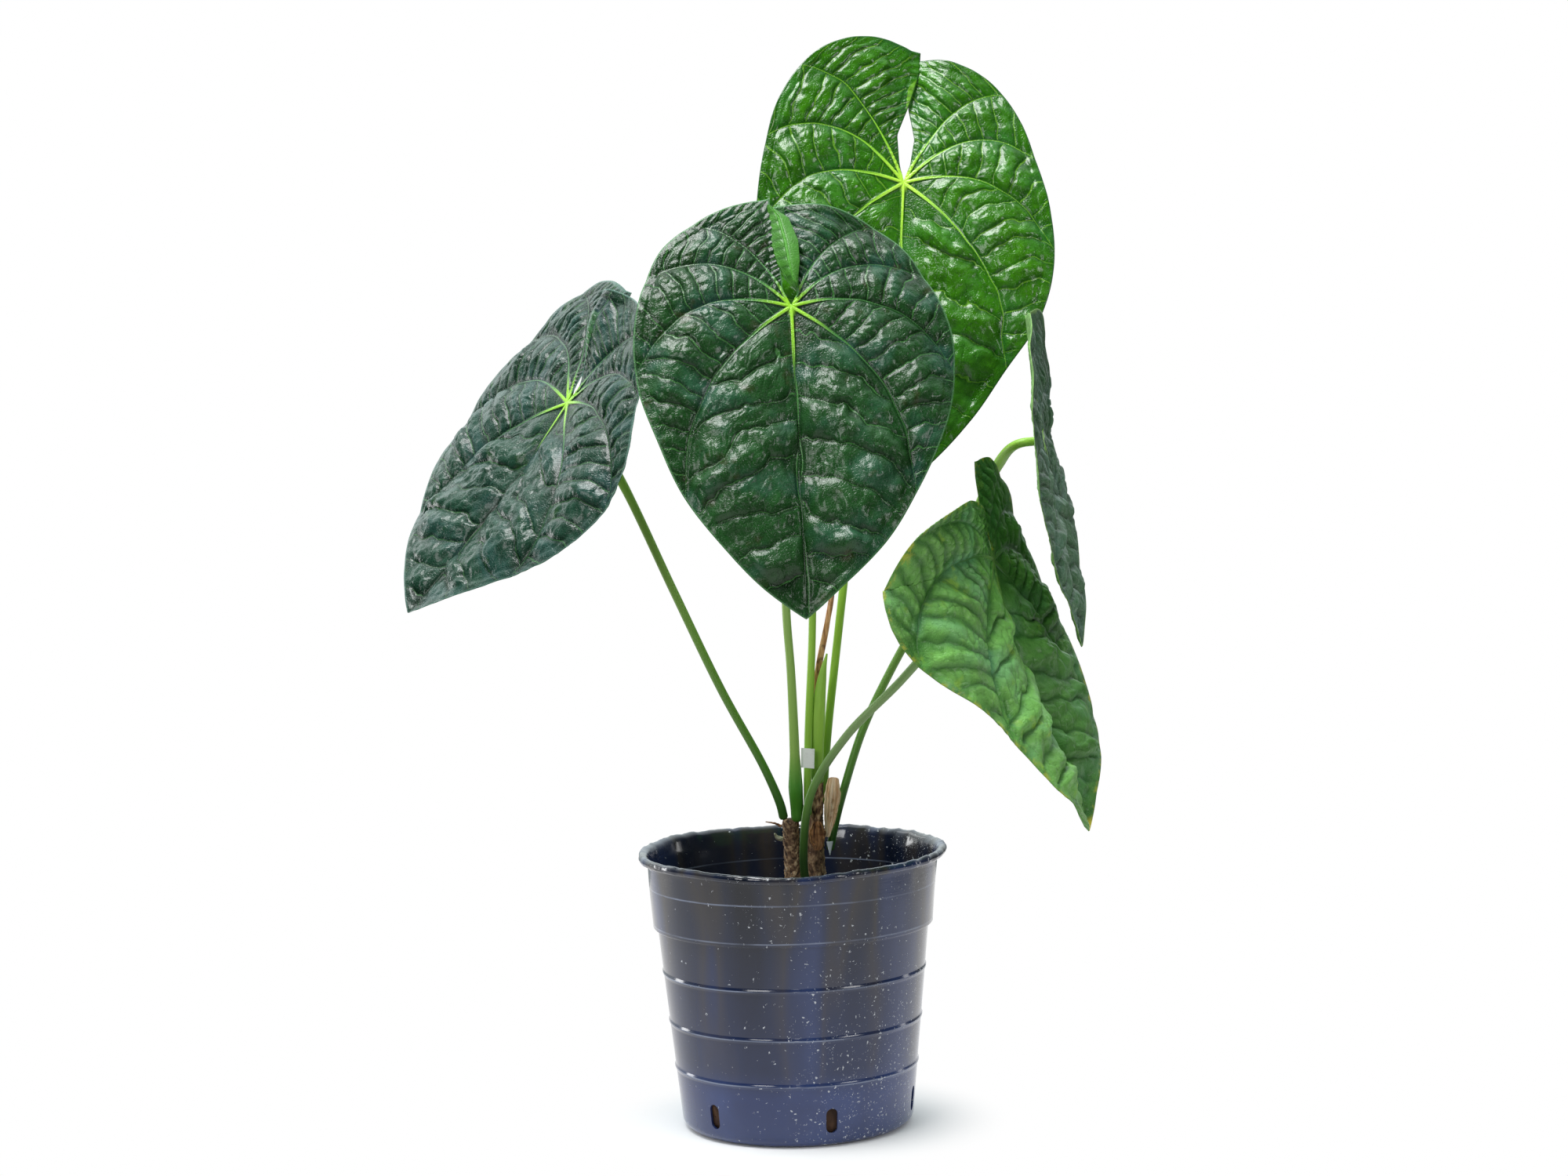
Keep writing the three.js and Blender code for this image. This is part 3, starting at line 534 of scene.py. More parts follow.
rolledEdges = {
    "front": {"half": 1, "from": 0.1, "shares": [0.0, 0.15, 0.25, 0.4, 0.6, 0.85, 1.0], "radius": 1.3, "turn": 2.95,
              "fold": [3, 4.5, -1, -5.5, -8.5, -10.5, -11.5], "flap": [0, 1, 7, 13, 16, 13, 2],
              "bow": 2.6, "lift": 0.5, "thick": 0.5},
}
leafLooks = {
    "velvet": {"deep": (0.001, 0.015, 0.001), "mid": (0.006, 0.045, 0.007), "pale": (0.030, 0.125, 0.030),
               "cool": (0.018, 0.068, 0.050), "vein": (0.05, 0.18, 0.040), "joint": (0.28, 0.60, 0.03),
               "edge": (0.10, 0.26, 0.10), "under": (0.05, 0.19, 0.02), "line": 0.7, "rough": 0.25, "coat": 0.22,
               "worn": (0.035, 0.035, 0.008), "slot": "velvet_leaf"},
    # shade is the velvet finish painted darker for the left leaf: painted shade
    "shade": {"deep": (0.001, 0.010, 0.003), "mid": (0.006, 0.032, 0.015), "pale": (0.028, 0.100, 0.062),
              "cool": (0.016, 0.052, 0.050), "vein": (0.05, 0.16, 0.05), "joint": (0.28, 0.60, 0.03),
              "edge": (0.10, 0.20, 0.16), "under": (0.05, 0.19, 0.02), "line": 0.6, "rough": 0.25, "coat": 0.22,
              "worn": (0.02, 0.075, 0.012), "slot": "velvet_leaf"},
    "pale": {"deep": (0.012, 0.050, 0.016), "mid": (0.045, 0.13, 0.055), "pale": (0.14, 0.30, 0.14),
             "cool": (0.08, 0.17, 0.13), "vein": (0.06, 0.18, 0.05), "joint": (0.28, 0.60, 0.03),
             "edge": (0.22, 0.42, 0.06), "under": (0.20, 0.38, 0.12), "line": 0.6, "rough": 0.36, "coat": 0.10,
             "worn": (0.02, 0.075, 0.012), "slot": "velvet_leaf"},
    "fresh": {"deep": (0.007, 0.068, 0.001), "mid": (0.028, 0.165, 0.002), "pale": (0.075, 0.29, 0.008),
              "cool": (0.022, 0.135, 0.02), "vein": (0.24, 0.55, 0.04), "joint": (0.45, 0.80, 0.06),
              "edge": (0.02, 0.10, 0.02), "under": (0.14, 0.34, 0.05), "line": 0.4, "rough": 0.19, "coat": 0.45,
              "worn": (0.02, 0.12, 0.004), "slot": "glossy_leaf"},
    "aging": {"deep": (0.022, 0.11, 0.014), "mid": (0.10, 0.33, 0.06), "pale": (0.32, 0.70, 0.16),
              "cool": (0.10, 0.30, 0.16), "vein": (0.07, 0.20, 0.05), "joint": (0.14, 0.30, 0.05),
              "edge": (0.12, 0.28, 0.05), "under": (0.08, 0.22, 0.03), "line": 0.6, "rough": 0.38, "coat": 0.1,
              "yellow": (0.60, 0.55, 0.05),
              "worn": (0.30, 0.52, 0.05), "slot": "aging_leaf"},
}


def leafMaterial(name, look):
    s = Shader(name)
    index = s.attribute("veinIndex")
    width = s.attribute("veinWidth")
    gap = s.times(s.math("PINGPONG", index, 0.5), width)
    rung = s.attribute("rung")
    sideGap = s.times(s.math("PINGPONG", rung, 0.5), s.attribute("rungSize"))
    share = s.attribute("share")
    rim = s.attribute("rim")
    seam = s.attribute("seam")
    under = s.attribute("under")
    flat = s.add("CombineXYZ", {0: s.attribute("flatX"), 1: s.attribute("flatY")})
    patch = s.noise(0.028, 3.0, flat)
    mottle = s.noise(0.16, 4.0, flat)
    body = s.mix(s.span(patch, 0.35, 0.7), look["deep"], look["mid"])
    body = s.mix(s.span(mottle, 0.5, 0.85, 0.0, 0.55), body, look["pale"])
    cool = s.noise(0.035, 2.0, s.add("VectorMath", {0: flat, 1: (300, 90, 5)}))
    body = s.mix(s.span(cool, 0.5, 0.68, 0.0, 0.8), body, look["cool"])
    # raised parts of the relief are painted paler, a painted highlight, and the hollows along the side veins and cell
    # seams are painted darker, painted shade; their very lines are a little paler
    tone = s.span(s.attribute("height"), -1.5, 3.5, 0.0, 0.35)
    body = s.mix(tone, body, look["pale"])
    body = s.mix(s.span(seam, 0.0, 0.16, 0.35, 0.0), body, look["deep"])
    body = s.mix(s.span(sideGap, 0.4, 3.2, 0.6, 0.0), body, look["deep"])
    worn = s.span(s.noise(0.06, 3.0, s.add("VectorMath", {0: flat, 1: (40, 700, 5)})), 0.6, 0.72, 0.0, 0.55)
    body = s.mix(worn, body, look["worn"])
    lineWidth = s.span(share, 0.0, 1.0, 0.5, 0.3)
    sideLine = s.less(1.0, s.span(s.math("DIVIDE", sideGap, lineWidth), 0.4, 1.3))
    sideLine = s.times(sideLine, s.span(gap, 0.7, 1.8))
    body = s.mix(s.times(sideLine, look["line"]), body, look["vein"])
    rib = s.span(share, 0.0, 0.55, 1.25, 0.4)
    mainLine = s.less(1.0, s.span(s.math("DIVIDE", gap, rib), 0.65, 1.15))
    veinTone = s.mix(s.span(share, 0.03, 0.3), look["joint"], look["vein"])
    body = s.mix(s.times(mainLine, s.span(share, 0.3, 0.75, 1.0, 0.5)), body, veinTone)
    body = s.mix(s.span(share, 0.01, 0.045, 1.0, 0.0), body, look["joint"])
    edgeLine = s.less(1.0, s.span(rim, 0.3, 1.3))
    body = s.mix(s.times(edgeLine, 0.7), body, look["edge"])
    if "yellow" in look:
        spread = s.times(s.span(rim, 0.3, 3.5, 1.0, 0.0), s.span(mottle, 0.48, 0.6))
        spread = s.math("MAXIMUM", s.times(spread, 0.45), s.span(s.attribute("flatX"), 172, 178))
        # the half on side B is painted darker: painted shade
        body = s.mix(s.span(s.attribute("flatY"), -4, 4, 0.0, 0.6), body, look["deep"])
        body = s.mix(spread, body, look["yellow"])
    underTone = s.mix(s.span(mottle, 0.3, 0.7), look["under"], tuple(c * 1.25 for c in look["under"]))
    underTone = s.mix(s.span(seam, 0.0, 0.5, 0.5, 0.0), underTone, look["mid"])
    underTone = s.mix(s.times(mainLine, 0.8), underTone, tuple(min(c * 1.7, 1) for c in look["under"]))
    body = s.mix(under, body, underTone)
    fine = s.noise(1.3, 3.0, flat)
    net = s.cells(0.55, "DISTANCE_TO_EDGE", flat)
    relief = s.timesPlus(s.span(net, 0.0, 0.25), 0.6, s.times(fine, 0.5))
    normal = s.bump(relief, 0.0004, 0.5)
    rough = s.span(fine, 0.3, 0.75, look["rough"] - 0.06, look["rough"] + 0.1)
    rough = s.timesPlus(under, 0.18, rough)
    return s.finish(colour=body, roughness=rough, normal=normal, specular=0.24, coat=look["coat"], coatRoughness=0.14)


for lookName, look in leafLooks.items():
    look["material"] = leafMaterial("leaf_" + lookName, look)
for leafName, leaf in leaves.items():
    look = leafLooks[leaf["look"]]
    makeLeaf(leafName, leaf, look["material"])
    if leafName in rolledEdges:
        makeRoll(leafName, leaf, rolledEdges[leafName], look["material"])
    print("leaf", leafName)


# tubes along a curve
def curveThrough(points, count):
    # centripetal Catmull-Rom through the points (knots are sqrt(chord) apart), then samples evenly spaced by length
    p = np.asarray(points, float)
    p = np.vstack([2 * p[0] - p[1], p, 2 * p[-1] - p[-2]])
    dense = []
    for i in range(1, len(p) - 2):
        a, b, c, d = p[i - 1:i + 3]
        ta = 0.0
        tb = ta + np.sqrt(np.linalg.norm(b - a))
        tc = tb + np.sqrt(np.linalg.norm(c - b))
        td = tc + np.sqrt(np.linalg.norm(d - c))
        t = np.linspace(tb, tc, 300, endpoint=False)[:, None]
        between = lambda start, end, low, high: (end - t) / (end - start) * low + (t - start) / (end - start) * high
        ab, bc, cd = between(ta, tb, a, b), between(tb, tc, b, c), between(tc, td, c, d)
        dense.append(between(tb, tc, between(ta, tc, ab, bc), between(tb, td, bc, cd)))
    dense = np.vstack(dense + [p[-2][None]])
    length = np.r_[0, np.cumsum(np.linalg.norm(np.diff(dense, axis=0), axis=1))]
    even = np.linspace(0, length[-1], count)
    return np.stack([np.interp(even, length, dense[:, k]) for k in range(3)], 1)


def tubeGrid(points, steps, sides, radius, flat=1.0, section=None):
    # rings round the curve, r cos(angle) to the side and flat r sin(angle) to the front, where
    # r = radius(t) section(t, angle) and the side is as level with X as the curve allows
    place = curveThrough(points, steps)
    along = unit(np.gradient(place, axis=0))
    front = unit(np.cross(along, [1.0, 0, 0]))
    side = np.cross(front, along)
    t = np.linspace(0, 1, steps)
    angle = np.arange(sides) * 2 * np.pi / sides
    r = stops(radius, t)[:, None] * np.ones((1, sides))
    if section is not None:
        r = r * section(t[:, None], angle[None, :])
    x, y = r * np.cos(angle)[None, :], r * np.sin(angle)[None, :] * flat
    return place[:, None, :] + side[:, None, :] * x[..., None] + front[:, None, :] * y[..., None], t, angle


def tubePiece(name, grid, material, nodes, extra=None, rounded=0.6):
    # closes a grid of rings with a domed end at each side: rings shrunk by k and moved out by sqrt(1 - k^2)
    steps, sides = grid.shape[:2]
    ends = []
    for ring, inner in ((grid[0], grid[1]), (grid[-1], grid[-2])):
        centre = ring.mean(0)
        away = unit(centre - inner.mean(0))
        size = np.linalg.norm(ring - centre, axis=1).mean()
        ends.append([(centre + (ring - centre) * k + away * size * rounded * np.sqrt(1 - k * k)) for k in (0.8, 0.45)]
                    + [centre + away * size * rounded])
    full = np.concatenate([[ends[0][1], ends[0][0]], grid, [ends[1][0], ends[1][1]]])
    points = np.concatenate([full.reshape(-1, 3), [ends[0][2], ends[1][2]]])
    rows = len(full)
    t = np.repeat(np.clip((np.arange(rows) - 2) / (steps - 1), 0, 1), sides)
    attributes = {"along": np.r_[t, 0, 1], "around": np.r_[np.tile(np.arange(sides) / sides, rows), 0, 0]}
    for key, value in (extra or {}).items():
        value = np.concatenate([value[:1], value[:1], value, value[-1:], value[-1:]])
        attributes[key] = np.r_[value.ravel(), value[0, 0], value[-1, 0]]
    declare(newPiece(name, points, closedFaces(rows, sides), material, attributes), nodes)


def tube(name, node, route, rings, widths, material, section=None, flat=1.0):
    # a plain tube: rings is (steps, sides)
    tubePiece(name, tubeGrid(route, *rings, widths, flat, section)[0], material, [node])


# pot
potShape = {
    "height": 180.0, "lip": 100.0, "lipDrop": 5.5, "neck": 94.5, "collar": 91.0, "collarBottom": 133.0,
    "step": 2.7, "foot": 75.5, "footRound": 7.0, "wall": 1.5, "floor": 2.0,
    "rings": [40.0, 70.0, 102.0], "lines": [158.0, 133.6], "ringStand": 0.75, "ringHalf": 1.3,
    "slots": 6, "slotFirst": 46.0, "slotHeight": 17.0, "slotLength": 16.0, "slotWidth": 7.5,
}


def wallRadius(z):
    # straight from the foot to below the collar
    p = potShape
    widening = p["collar"] - p["step"] - p["foot"]
    return p["foot"] + widening * (z - p["footRound"]) / (p["collarBottom"] - p["footRound"])


def potProfile():
    # the wall's cut as one closed run of (radius, height): out under the foot, up outside, over the lip, down inside
    p = potShape
    foot, collar, wall, neck, lip = p["foot"], p["collar"], p["wall"], p["neck"], p["lip"]
    height, drop, top = p["height"], p["lipDrop"], p["collarBottom"]
    collarAt = lambda z: (z - top) / (height - drop - top)
    run = [(0.5, 0.9), (foot - 14, 0.9), (foot - 11, 0.0)]
    for a in np.radians(np.linspace(-90, 0, 7)):
        run.append((foot - p["footRound"] * (1 - math.cos(a)), p["footRound"] * (1 + math.sin(a))))
    for z in np.arange(9, top - 2.6, 0.75):
        bulge = sum(math.exp(-((z - ring) / p["ringHalf"]) ** 4) for ring in p["rings"])
        run.append((wallRadius(z) + p["ringStand"] * bulge, z))
    run += [(wallRadius(top - 2.2), top - 2.2), (wallRadius(top) + 0.2, top - 1.9), (collar - 0.35, top - 1.7),
            (collar, top - 1.2)]
    run += [(collar + (neck - collar) * collarAt(z), z) for z in np.linspace(top + 1.5, height - drop - 1.2, 16)]
    centre, half = height - drop / 2, drop / 2
    run += [(neck + 0.25, height - drop - 0.3)]
    for a in np.radians(np.linspace(-80, 96, 12)):
        run.append((lip - half * 0.75 * (1 - math.cos(a)), centre + half * math.sin(a)))
    run += [(lip - 4.6, height - 0.9), (lip - 5.6, height - 2.2), (neck - 0.9, height - 4.5),
            (neck - 1.4, height - 8)]
    run += [(collar - wall + (neck - collar) * collarAt(z), z) for z in np.linspace(height - 10, top + 8, 12)]
    run += [(collar - wall - 0.2, top + 4), (collar - wall - 1.2, top + 2), (collar - p["step"] - wall, top)]
    run += [(wallRadius(z) - wall, z) for z in np.linspace(top - 4, 12, 20)]
    run += [(foot - wall - 1, 6), (foot - wall - 5, p["floor"] + 0.6), (foot - wall - 9, p["floor"]),
            (30, p["floor"]), (0.5, p["floor"])]
    return np.array(run)


def makePot(material):
    # the profile turned round the upright axis; near the lip the radius waves and the front edge dips
    run = potProfile()
    turns = 288
    height, drop = potShape["height"], potShape["lipDrop"]
    angle = np.arange(turns) * 2 * np.pi / turns
    r, z = run[:, :1], run[:, 1:]
    near = smooth(height - 30, height, z)
    lip = smooth(height - drop - 1, height - drop + 1, z)
    wave = 1.2 * np.sin(3 * angle + 0.6) + 0.8 * np.sin(5 * angle + 2.0) + 0.35 * np.sin(11 * angle + 1)
    rough = waves(angle * 60, angle * 0, 5, 9, 4)
    fromFront = np.degrees(np.angle(np.exp(1j * (angle + np.pi / 2))))
    dip = -3.4 * np.exp(-((fromFront + 2) / 26) ** 2)
    radius = r + (0.5 * wave * near) * smooth(40, 90, r) + 0.6 * rough * lip
    level = z + (0.25 * wave + dip)[None, :] * near ** 1.5 * smooth(60, 90, r)
    level = level + 0.7 * rough * lip * smooth(height - 4, height, z)
    points = np.stack([radius * np.cos(angle), radius * np.sin(angle), level + 0 * radius], -1).reshape(-1, 3)
    points = np.concatenate([points, [[0, 0, run[0, 1]], [0, 0, run[-1, 1]]]])
    piece = newPiece("pot_shell", points, closedFaces(len(run), turns), material)
    # drain slots are cut through the wall
    cutter = slotCutters()
    cut = piece.modifiers.new("slots", "BOOLEAN")
    cut.object, cut.operation, cut.solver = cutter, "DIFFERENCE", "EXACT"
    done = bpy.data.meshes.new_from_object(piece.evaluated_get(bpy.context.evaluated_depsgraph_get()))
    piece.modifiers.clear()
    piece.data = done
    bpy.data.objects.remove(cutter)
    done.polygons.foreach_set("use_smooth", np.ones(len(done.polygons), bool))
    done.set_sharp_from_angle(angle=math.radians(50))
    declare(piece, ["pot"])


def slotCutters():
    # round-ended bars through the wall, one for each slot, as one mesh
    p = potShape
    end = p["slotWidth"] / 2
    half = p["slotLength"] / 2 - end
    turns = list(range(-90, 91, 15)) + list(range(91, 270, 15))
    ring = [(half * (1 if a <= 90 else -1) + end * math.cos(math.radians(a)), end * math.sin(math.radians(a)))
            for a in turns]
    m = len(ring)
    points, faces = [], []
    for k in range(p["slots"]):
        turn = math.radians(p["slotFirst"] + k * 360 / p["slots"])
        out = np.array([math.cos(turn), math.sin(turn), 0])
        across = np.array([math.sin(turn), -math.cos(turn), 0])
        up = np.array([0, 0, 1.0])
        start = len(points)
        for reach in (p["foot"] - 12, p["foot"] + 18):
            points += [out * reach + across * b + up * (p["slotHeight"] + a) for a, b in ring]
        near, far = list(range(start, start + m)), list(range(start + m, start + 2 * m))
        faces += [[near[i], near[i + 1 - m], far[i + 1 - m], far[i]] for i in range(m)] + [near[::-1], far]
    mesh = bpy.data.meshes.new("slot_cutter")
    mesh.from_pydata((np.array(points) * mm).tolist(), [], faces)
    cutter = bpy.data.objects.new("slot_cutter", mesh)
    bpy.context.scene.collection.objects.link(cutter)
    return cutter


potColours = {
    # the streak colours are painted reflection bands
    "reflectionStreaks": [(0.32, (0.002, 0.004, 0.010)), (0.44, (0.008, 0.013, 0.032)), (0.52, (0.034, 0.031, 0.032)),
                (0.58, (0.016, 0.026, 0.070)), (0.70, (0.03, 0.05, 0.14))],
    # the line colour is a painted highlight along the rings and steps
    "blues": [(0.020, 0.036, 0.12), (0.032, 0.058, 0.18)], "line": (0.22, 0.26, 0.36), "speck": (0.55, 0.58, 0.62),
}


def potMaterial():
    # dark blue-black plastic with painted reflection streaks, painted highlight lines at the rings, scratches, and
    # dried water splashes
    s = Shader("pot_plastic")
    here = s.coords.outputs["Object"]
    east = s.add("SeparateXYZ", {0: here})
    north, height = s.nodes["Separate XYZ"].outputs[1:]
    cloud = s.noise(14, 4.0)
    # the wall has soft upright streaks of black, navy, grey-brown and blue all the way round, spread at random:
    # painted reflection bands
    streak = s.noise(22, 2.0, s.stretched(0.1))
    body = s.ramp(streak, potColours["reflectionStreaks"])
    blue = s.mix(s.span(cloud, 0.4, 0.7), *potColours["blues"])
    body = s.mix(s.span(height, 0.030, 0.052, 0.85, 0.0), body, blue)
    body = s.mix(s.span(height, 0.05, 0.17, 0.35, 0.0), body, blue)
    # a pale hairline at each ring and step of the wall is a painted highlight
    ringHighlight = None
    for ring in potShape["rings"] + potShape["lines"]:
        off = s.math("ABSOLUTE", s.less(s.timesPlus(cloud, 0.0012, height), ring * mm + 0.0006))
        line = s.span(off, 0.0002, 0.0007, 1.0, 0.0)
        ringHighlight = line if ringHighlight is None else s.math("MAXIMUM", ringHighlight, line)
    ringHighlightStrength = s.span(s.noise(24, 3.0), 0.35, 0.65, 0.15, 0.75)
    body = s.mix(s.times(ringHighlight, ringHighlightStrength), body, potColours["line"])
    # splashes are thickest on the right of the front
    side = s.timesPlus(east, 0.9, s.times(north, -0.35))
    region = s.span(side, -0.03, 0.075)
    patch = s.span(s.noise(11, 3.0), 0.35, 0.62)
    amount = s.timesPlus(s.times(region, patch), 0.9, 0.04)
    specks = None
    for scale, size in ((330, 0.26), (620, 0.24), (150, 0.13)):
        warp = s.noise(scale * 1.7, 2.0, out=1)
        place = s.add("MixRGB", {0: 0.004, 1: here, 2: warp}, blend_type="ADD")
        dots = s.cells(scale, vector=place)
        which = s.cells(scale, vector=place, out=1)
        keep = s.math("LESS_THAN", s.add("SeparateXYZ", {0: which}), s.times(amount, 0.5))
        dot = s.times(s.span(dots, size * 0.6, size, 1.0, 0.0), keep)
        specks = dot if specks is None else s.math("MAXIMUM", specks, dot)
    body = s.mix(s.times(specks, 0.85), body, potColours["speck"])
    scratch = s.noise(60, 3.0, s.stretched(14))
    fine = s.noise(420, 2.0)
    rough = s.span(cloud, 0.3, 0.8, 0.13, 0.24)
    rough = s.timesPlus(specks, 0.35, rough)
    relief = s.timesPlus(specks, 0.6, s.timesPlus(scratch, 0.35, s.times(fine, 0.15)))
    normal = s.bump(relief, 0.0004, 0.35)
    return s.finish(colour=body, roughness=rough, normal=normal, specular=0.45, coat=0.3, coatRoughness=0.05)


makePot(potMaterial())
print("pot")


# potting mix: coarse husk chips
def mixMaterial():
    s = Shader("husk")
    tone = s.noise(90, 5.0)
    fibre = s.noise(300, 3.0, s.stretched(0.2))
    body = s.ramp(s.timesPlus(fibre, 0.4, s.times(tone, 0.6)),
                  [(0.25, (0.012, 0.006, 0.004)), (0.5, (0.05, 0.024, 0.012)), (0.75, (0.13, 0.066, 0.03))])
    normal = s.bump(fibre, 0.0008, 0.7)
    return s.finish(colour=body, roughness=0.92, normal=normal)


husk = {"top": 130.0, "crown": 4.0, "fall": 7.0, "chips": 520, "onTop": 420, "smallest": [2.6, 1.8, 1.0],
        "largest": [6.5, 4.2, 2.4], "behindSlots": 0.55, "stems": [(0, 0), (15.5, 2)],
        "clearOfStems": 11}


def crownHeight(r):
    # the bed's top: a low crown, highest in the middle
    return husk["top"] + husk["crown"] - husk["fall"] * (r / 85) ** 2


def makeMix(material):
    # the pot's inside turned as a solid bed with a lumpy top
    turns, top, wall = 160, husk["top"], potShape["wall"]
    run = np.array([(0.5, 2.4), (60, 2.4), (66, 3.0), (70.5, 6.0), (72.6, 9.0)]
                   + [(wallRadius(z) - wall - 0.8, z) for z in np.linspace(12, top - 5, 40)]
                   + [(wallRadius(top) - wall - 2.5, top - 3.4)]
                   + [(r, crownHeight(r)) for r in np.linspace(82, 0.5, 30)])
    angle = np.arange(turns) * 2 * np.pi / turns
    r, z = run[:, :1], run[:, 1:]
    x, y = r * np.cos(angle), r * np.sin(angle)
    lumps, _ = cellField(x / 9 + 30, y / 9 + 30 + z / 9, 4)
    onTop = smooth(top - 6, top - 2, z)
    height = z + onTop * (2.2 * (0.5 - lumps) - 1.0)
    bumpy = 1 - (1 - onTop) * 0.012 * np.abs(waves(angle * 60, z + 0 * angle, 6, 11))
    points = np.stack([x * bumpy, y * bumpy, height], -1).reshape(-1, 3)
    points = np.concatenate([points, [[0, 0, run[0, 1]], [0, 0, run[-1, 1] - 0.5]]])
    declare(newPiece("husk_bed", points, closedFaces(len(run), turns), material), ["potting_mix"])


def makeChips(material):
    # chips are small balls squared off by |p|^0.7, roughened, stretched, leaned and laid on the bed
    lat, lon = 4, 8
    theta = np.linspace(0.35, np.pi - 0.35, lat)[:, None]
    phi = np.arange(lon) * 2 * np.pi / lon
    ball = np.stack([np.sin(theta) * np.cos(phi), np.sin(theta) * np.sin(phi), np.cos(theta) + 0 * phi], -1)
    ball = np.concatenate([ball.reshape(-1, 3), [[0, 0, 1.0], [0, 0, -1.0]]])
    ballFaces = [face[::-1] for face in closedFaces(lat, lon)]
    chips, faces = [], []
    for i in range(husk["chips"]):
        size = rng.uniform(husk["smallest"], husk["largest"])
        if i < husk["onTop"]:
            far = 80 * math.sqrt(rng.uniform(0.0, 1))
            turn = rng.uniform(0, 2 * math.pi)
            level = crownHeight(far) + rng.uniform(-0.8, 1.4)
        else:
            turn = math.radians(potShape["slotFirst"] + (i % 6) * 60) + rng.uniform(-0.09, 0.09)
            level = rng.uniform(10, 30)
            far = wallRadius(level) - 5.0
            size = size * husk["behindSlots"]
        centre = np.array([far * math.cos(turn), far * math.sin(turn), level])
        nearest = min(math.hypot(centre[0] - x, centre[1] - y) for x, y in husk["stems"])
        if i < husk["onTop"] and nearest < husk["clearOfStems"]:
            continue
        shape = np.sign(ball) * np.abs(ball) ** 0.7 * (1 + rng.uniform(-0.22, 0.22, ball.shape)) * size
        spin = rng.uniform(0, 2 * np.pi)
        angles = np.r_[rng.uniform(-0.5, 0.5, 2), spin]
        (cx, cy, cz), (sx, sy, sz) = np.cos(angles), np.sin(angles)
        turned = (np.array([[cz, -sz, 0], [sz, cz, 0], [0, 0, 1]]) @ np.array([[1, 0, 0], [0, cx, -sx], [0, sx, cx]])
                  @ np.array([[cy, 0, sy], [0, 1, 0], [-sy, 0, cy]]))
        faces += [[len(ball) * len(chips) + v for v in face] for face in ballFaces]
        chips.append(shape @ turned.T + centre)
    declare(newPiece("husk_chips", np.concatenate(chips), faces, material, soft=False), [])


huskLook = mixMaterial()
makeMix(huskLook)
makeChips(huskLook)
print("potting mix")


# stems
stemShapes = {
    "left": {"radius": 5.5, "route": [[0, 0, 108], [0, 0, 136], [0.5, 0, 165], [0, 0, 198]],
             "swell": [1, 1, 1.05, 0.95, 1.0], "seed": 2},
    "right": {"radius": 6.5, "route": [[15.5, 2, 108], [15.5, 2, 136], [15.5, 2, 170], [16, 2, 196], [18, 2, 222]],
              "swell": [1, 1, 1.05, 1, 0.85, 0.66], "seed": 7},
}


def barkMaterial():
    s = Shader("bark")
    tone = s.noise(160, 5.0, s.stretched(0.6))
    fibre = s.noise(900, 4.0, s.stretched(0.25))
    depth = s.attribute("depth")
    mark = s.timesPlus(fibre, 0.35, s.timesPlus(tone, 0.45, s.times(depth, 0.2)))
    body = s.ramp(mark, [(0.22, (0.03, 0.018, 0.010)), (0.38, (0.16, 0.09, 0.05)), (0.52, (0.42, 0.28, 0.16)),
                         (0.7, (0.78, 0.62, 0.42))])
    pale = s.span(s.cells(500), 0.1, 0.22, 1.0, 0.0)
    body = s.mix(s.times(pale, s.span(tone, 0.5, 0.6)), body, (0.62, 0.58, 0.48))
    normal = s.bump(s.timesPlus(tone, 0.6, fibre), 0.0012, 0.9)
    return s.finish(colour=body, roughness=0.88, normal=normal)


def makeStem(name, stem, material):
    # a tube whose radius adds rough noise, leaf scars (one per cell) and rings to 1
    steps, sides, seed = 170, 72, stem["seed"]
    depth = {}

    def section(t, angle):
        z, around = t * 100, angle / (2 * np.pi)
        rough = waves(np.cos(angle) * 6 + z * 0.35, np.sin(angle) * 6 * 1.1 - z * 0.9, seed, 5.0, 4)
        first, _ = cellField(around * 9 + 0 * t, z / 5.5 + around * 2 + 4, seed)
        scars = smooth(0.34, 0.22, first) - 1.4 * smooth(0.2, 0.1, first)
        rings = -smooth(0.12, 0.0, np.abs(((z / 9.5 + 0.15 * np.sin(angle)) % 1) - 0.5))
        depth["v"] = rough
        return 1 + 0.06 * rough + 0.07 * scars + 0.06 * rings - 0.05

    grid = tubeGrid(stem["route"], steps, sides, np.array(stem["swell"]) * stem["radius"], section=section)[0]
    tubePiece("stem_bark_" + name, grid, material, ["stem_" + name], {"depth": depth["v"]}, rounded=0.25)


bark = barkMaterial()
for stemName, stem in stemShapes.items():
    makeStem(stemName, stem, bark)
print("stems")


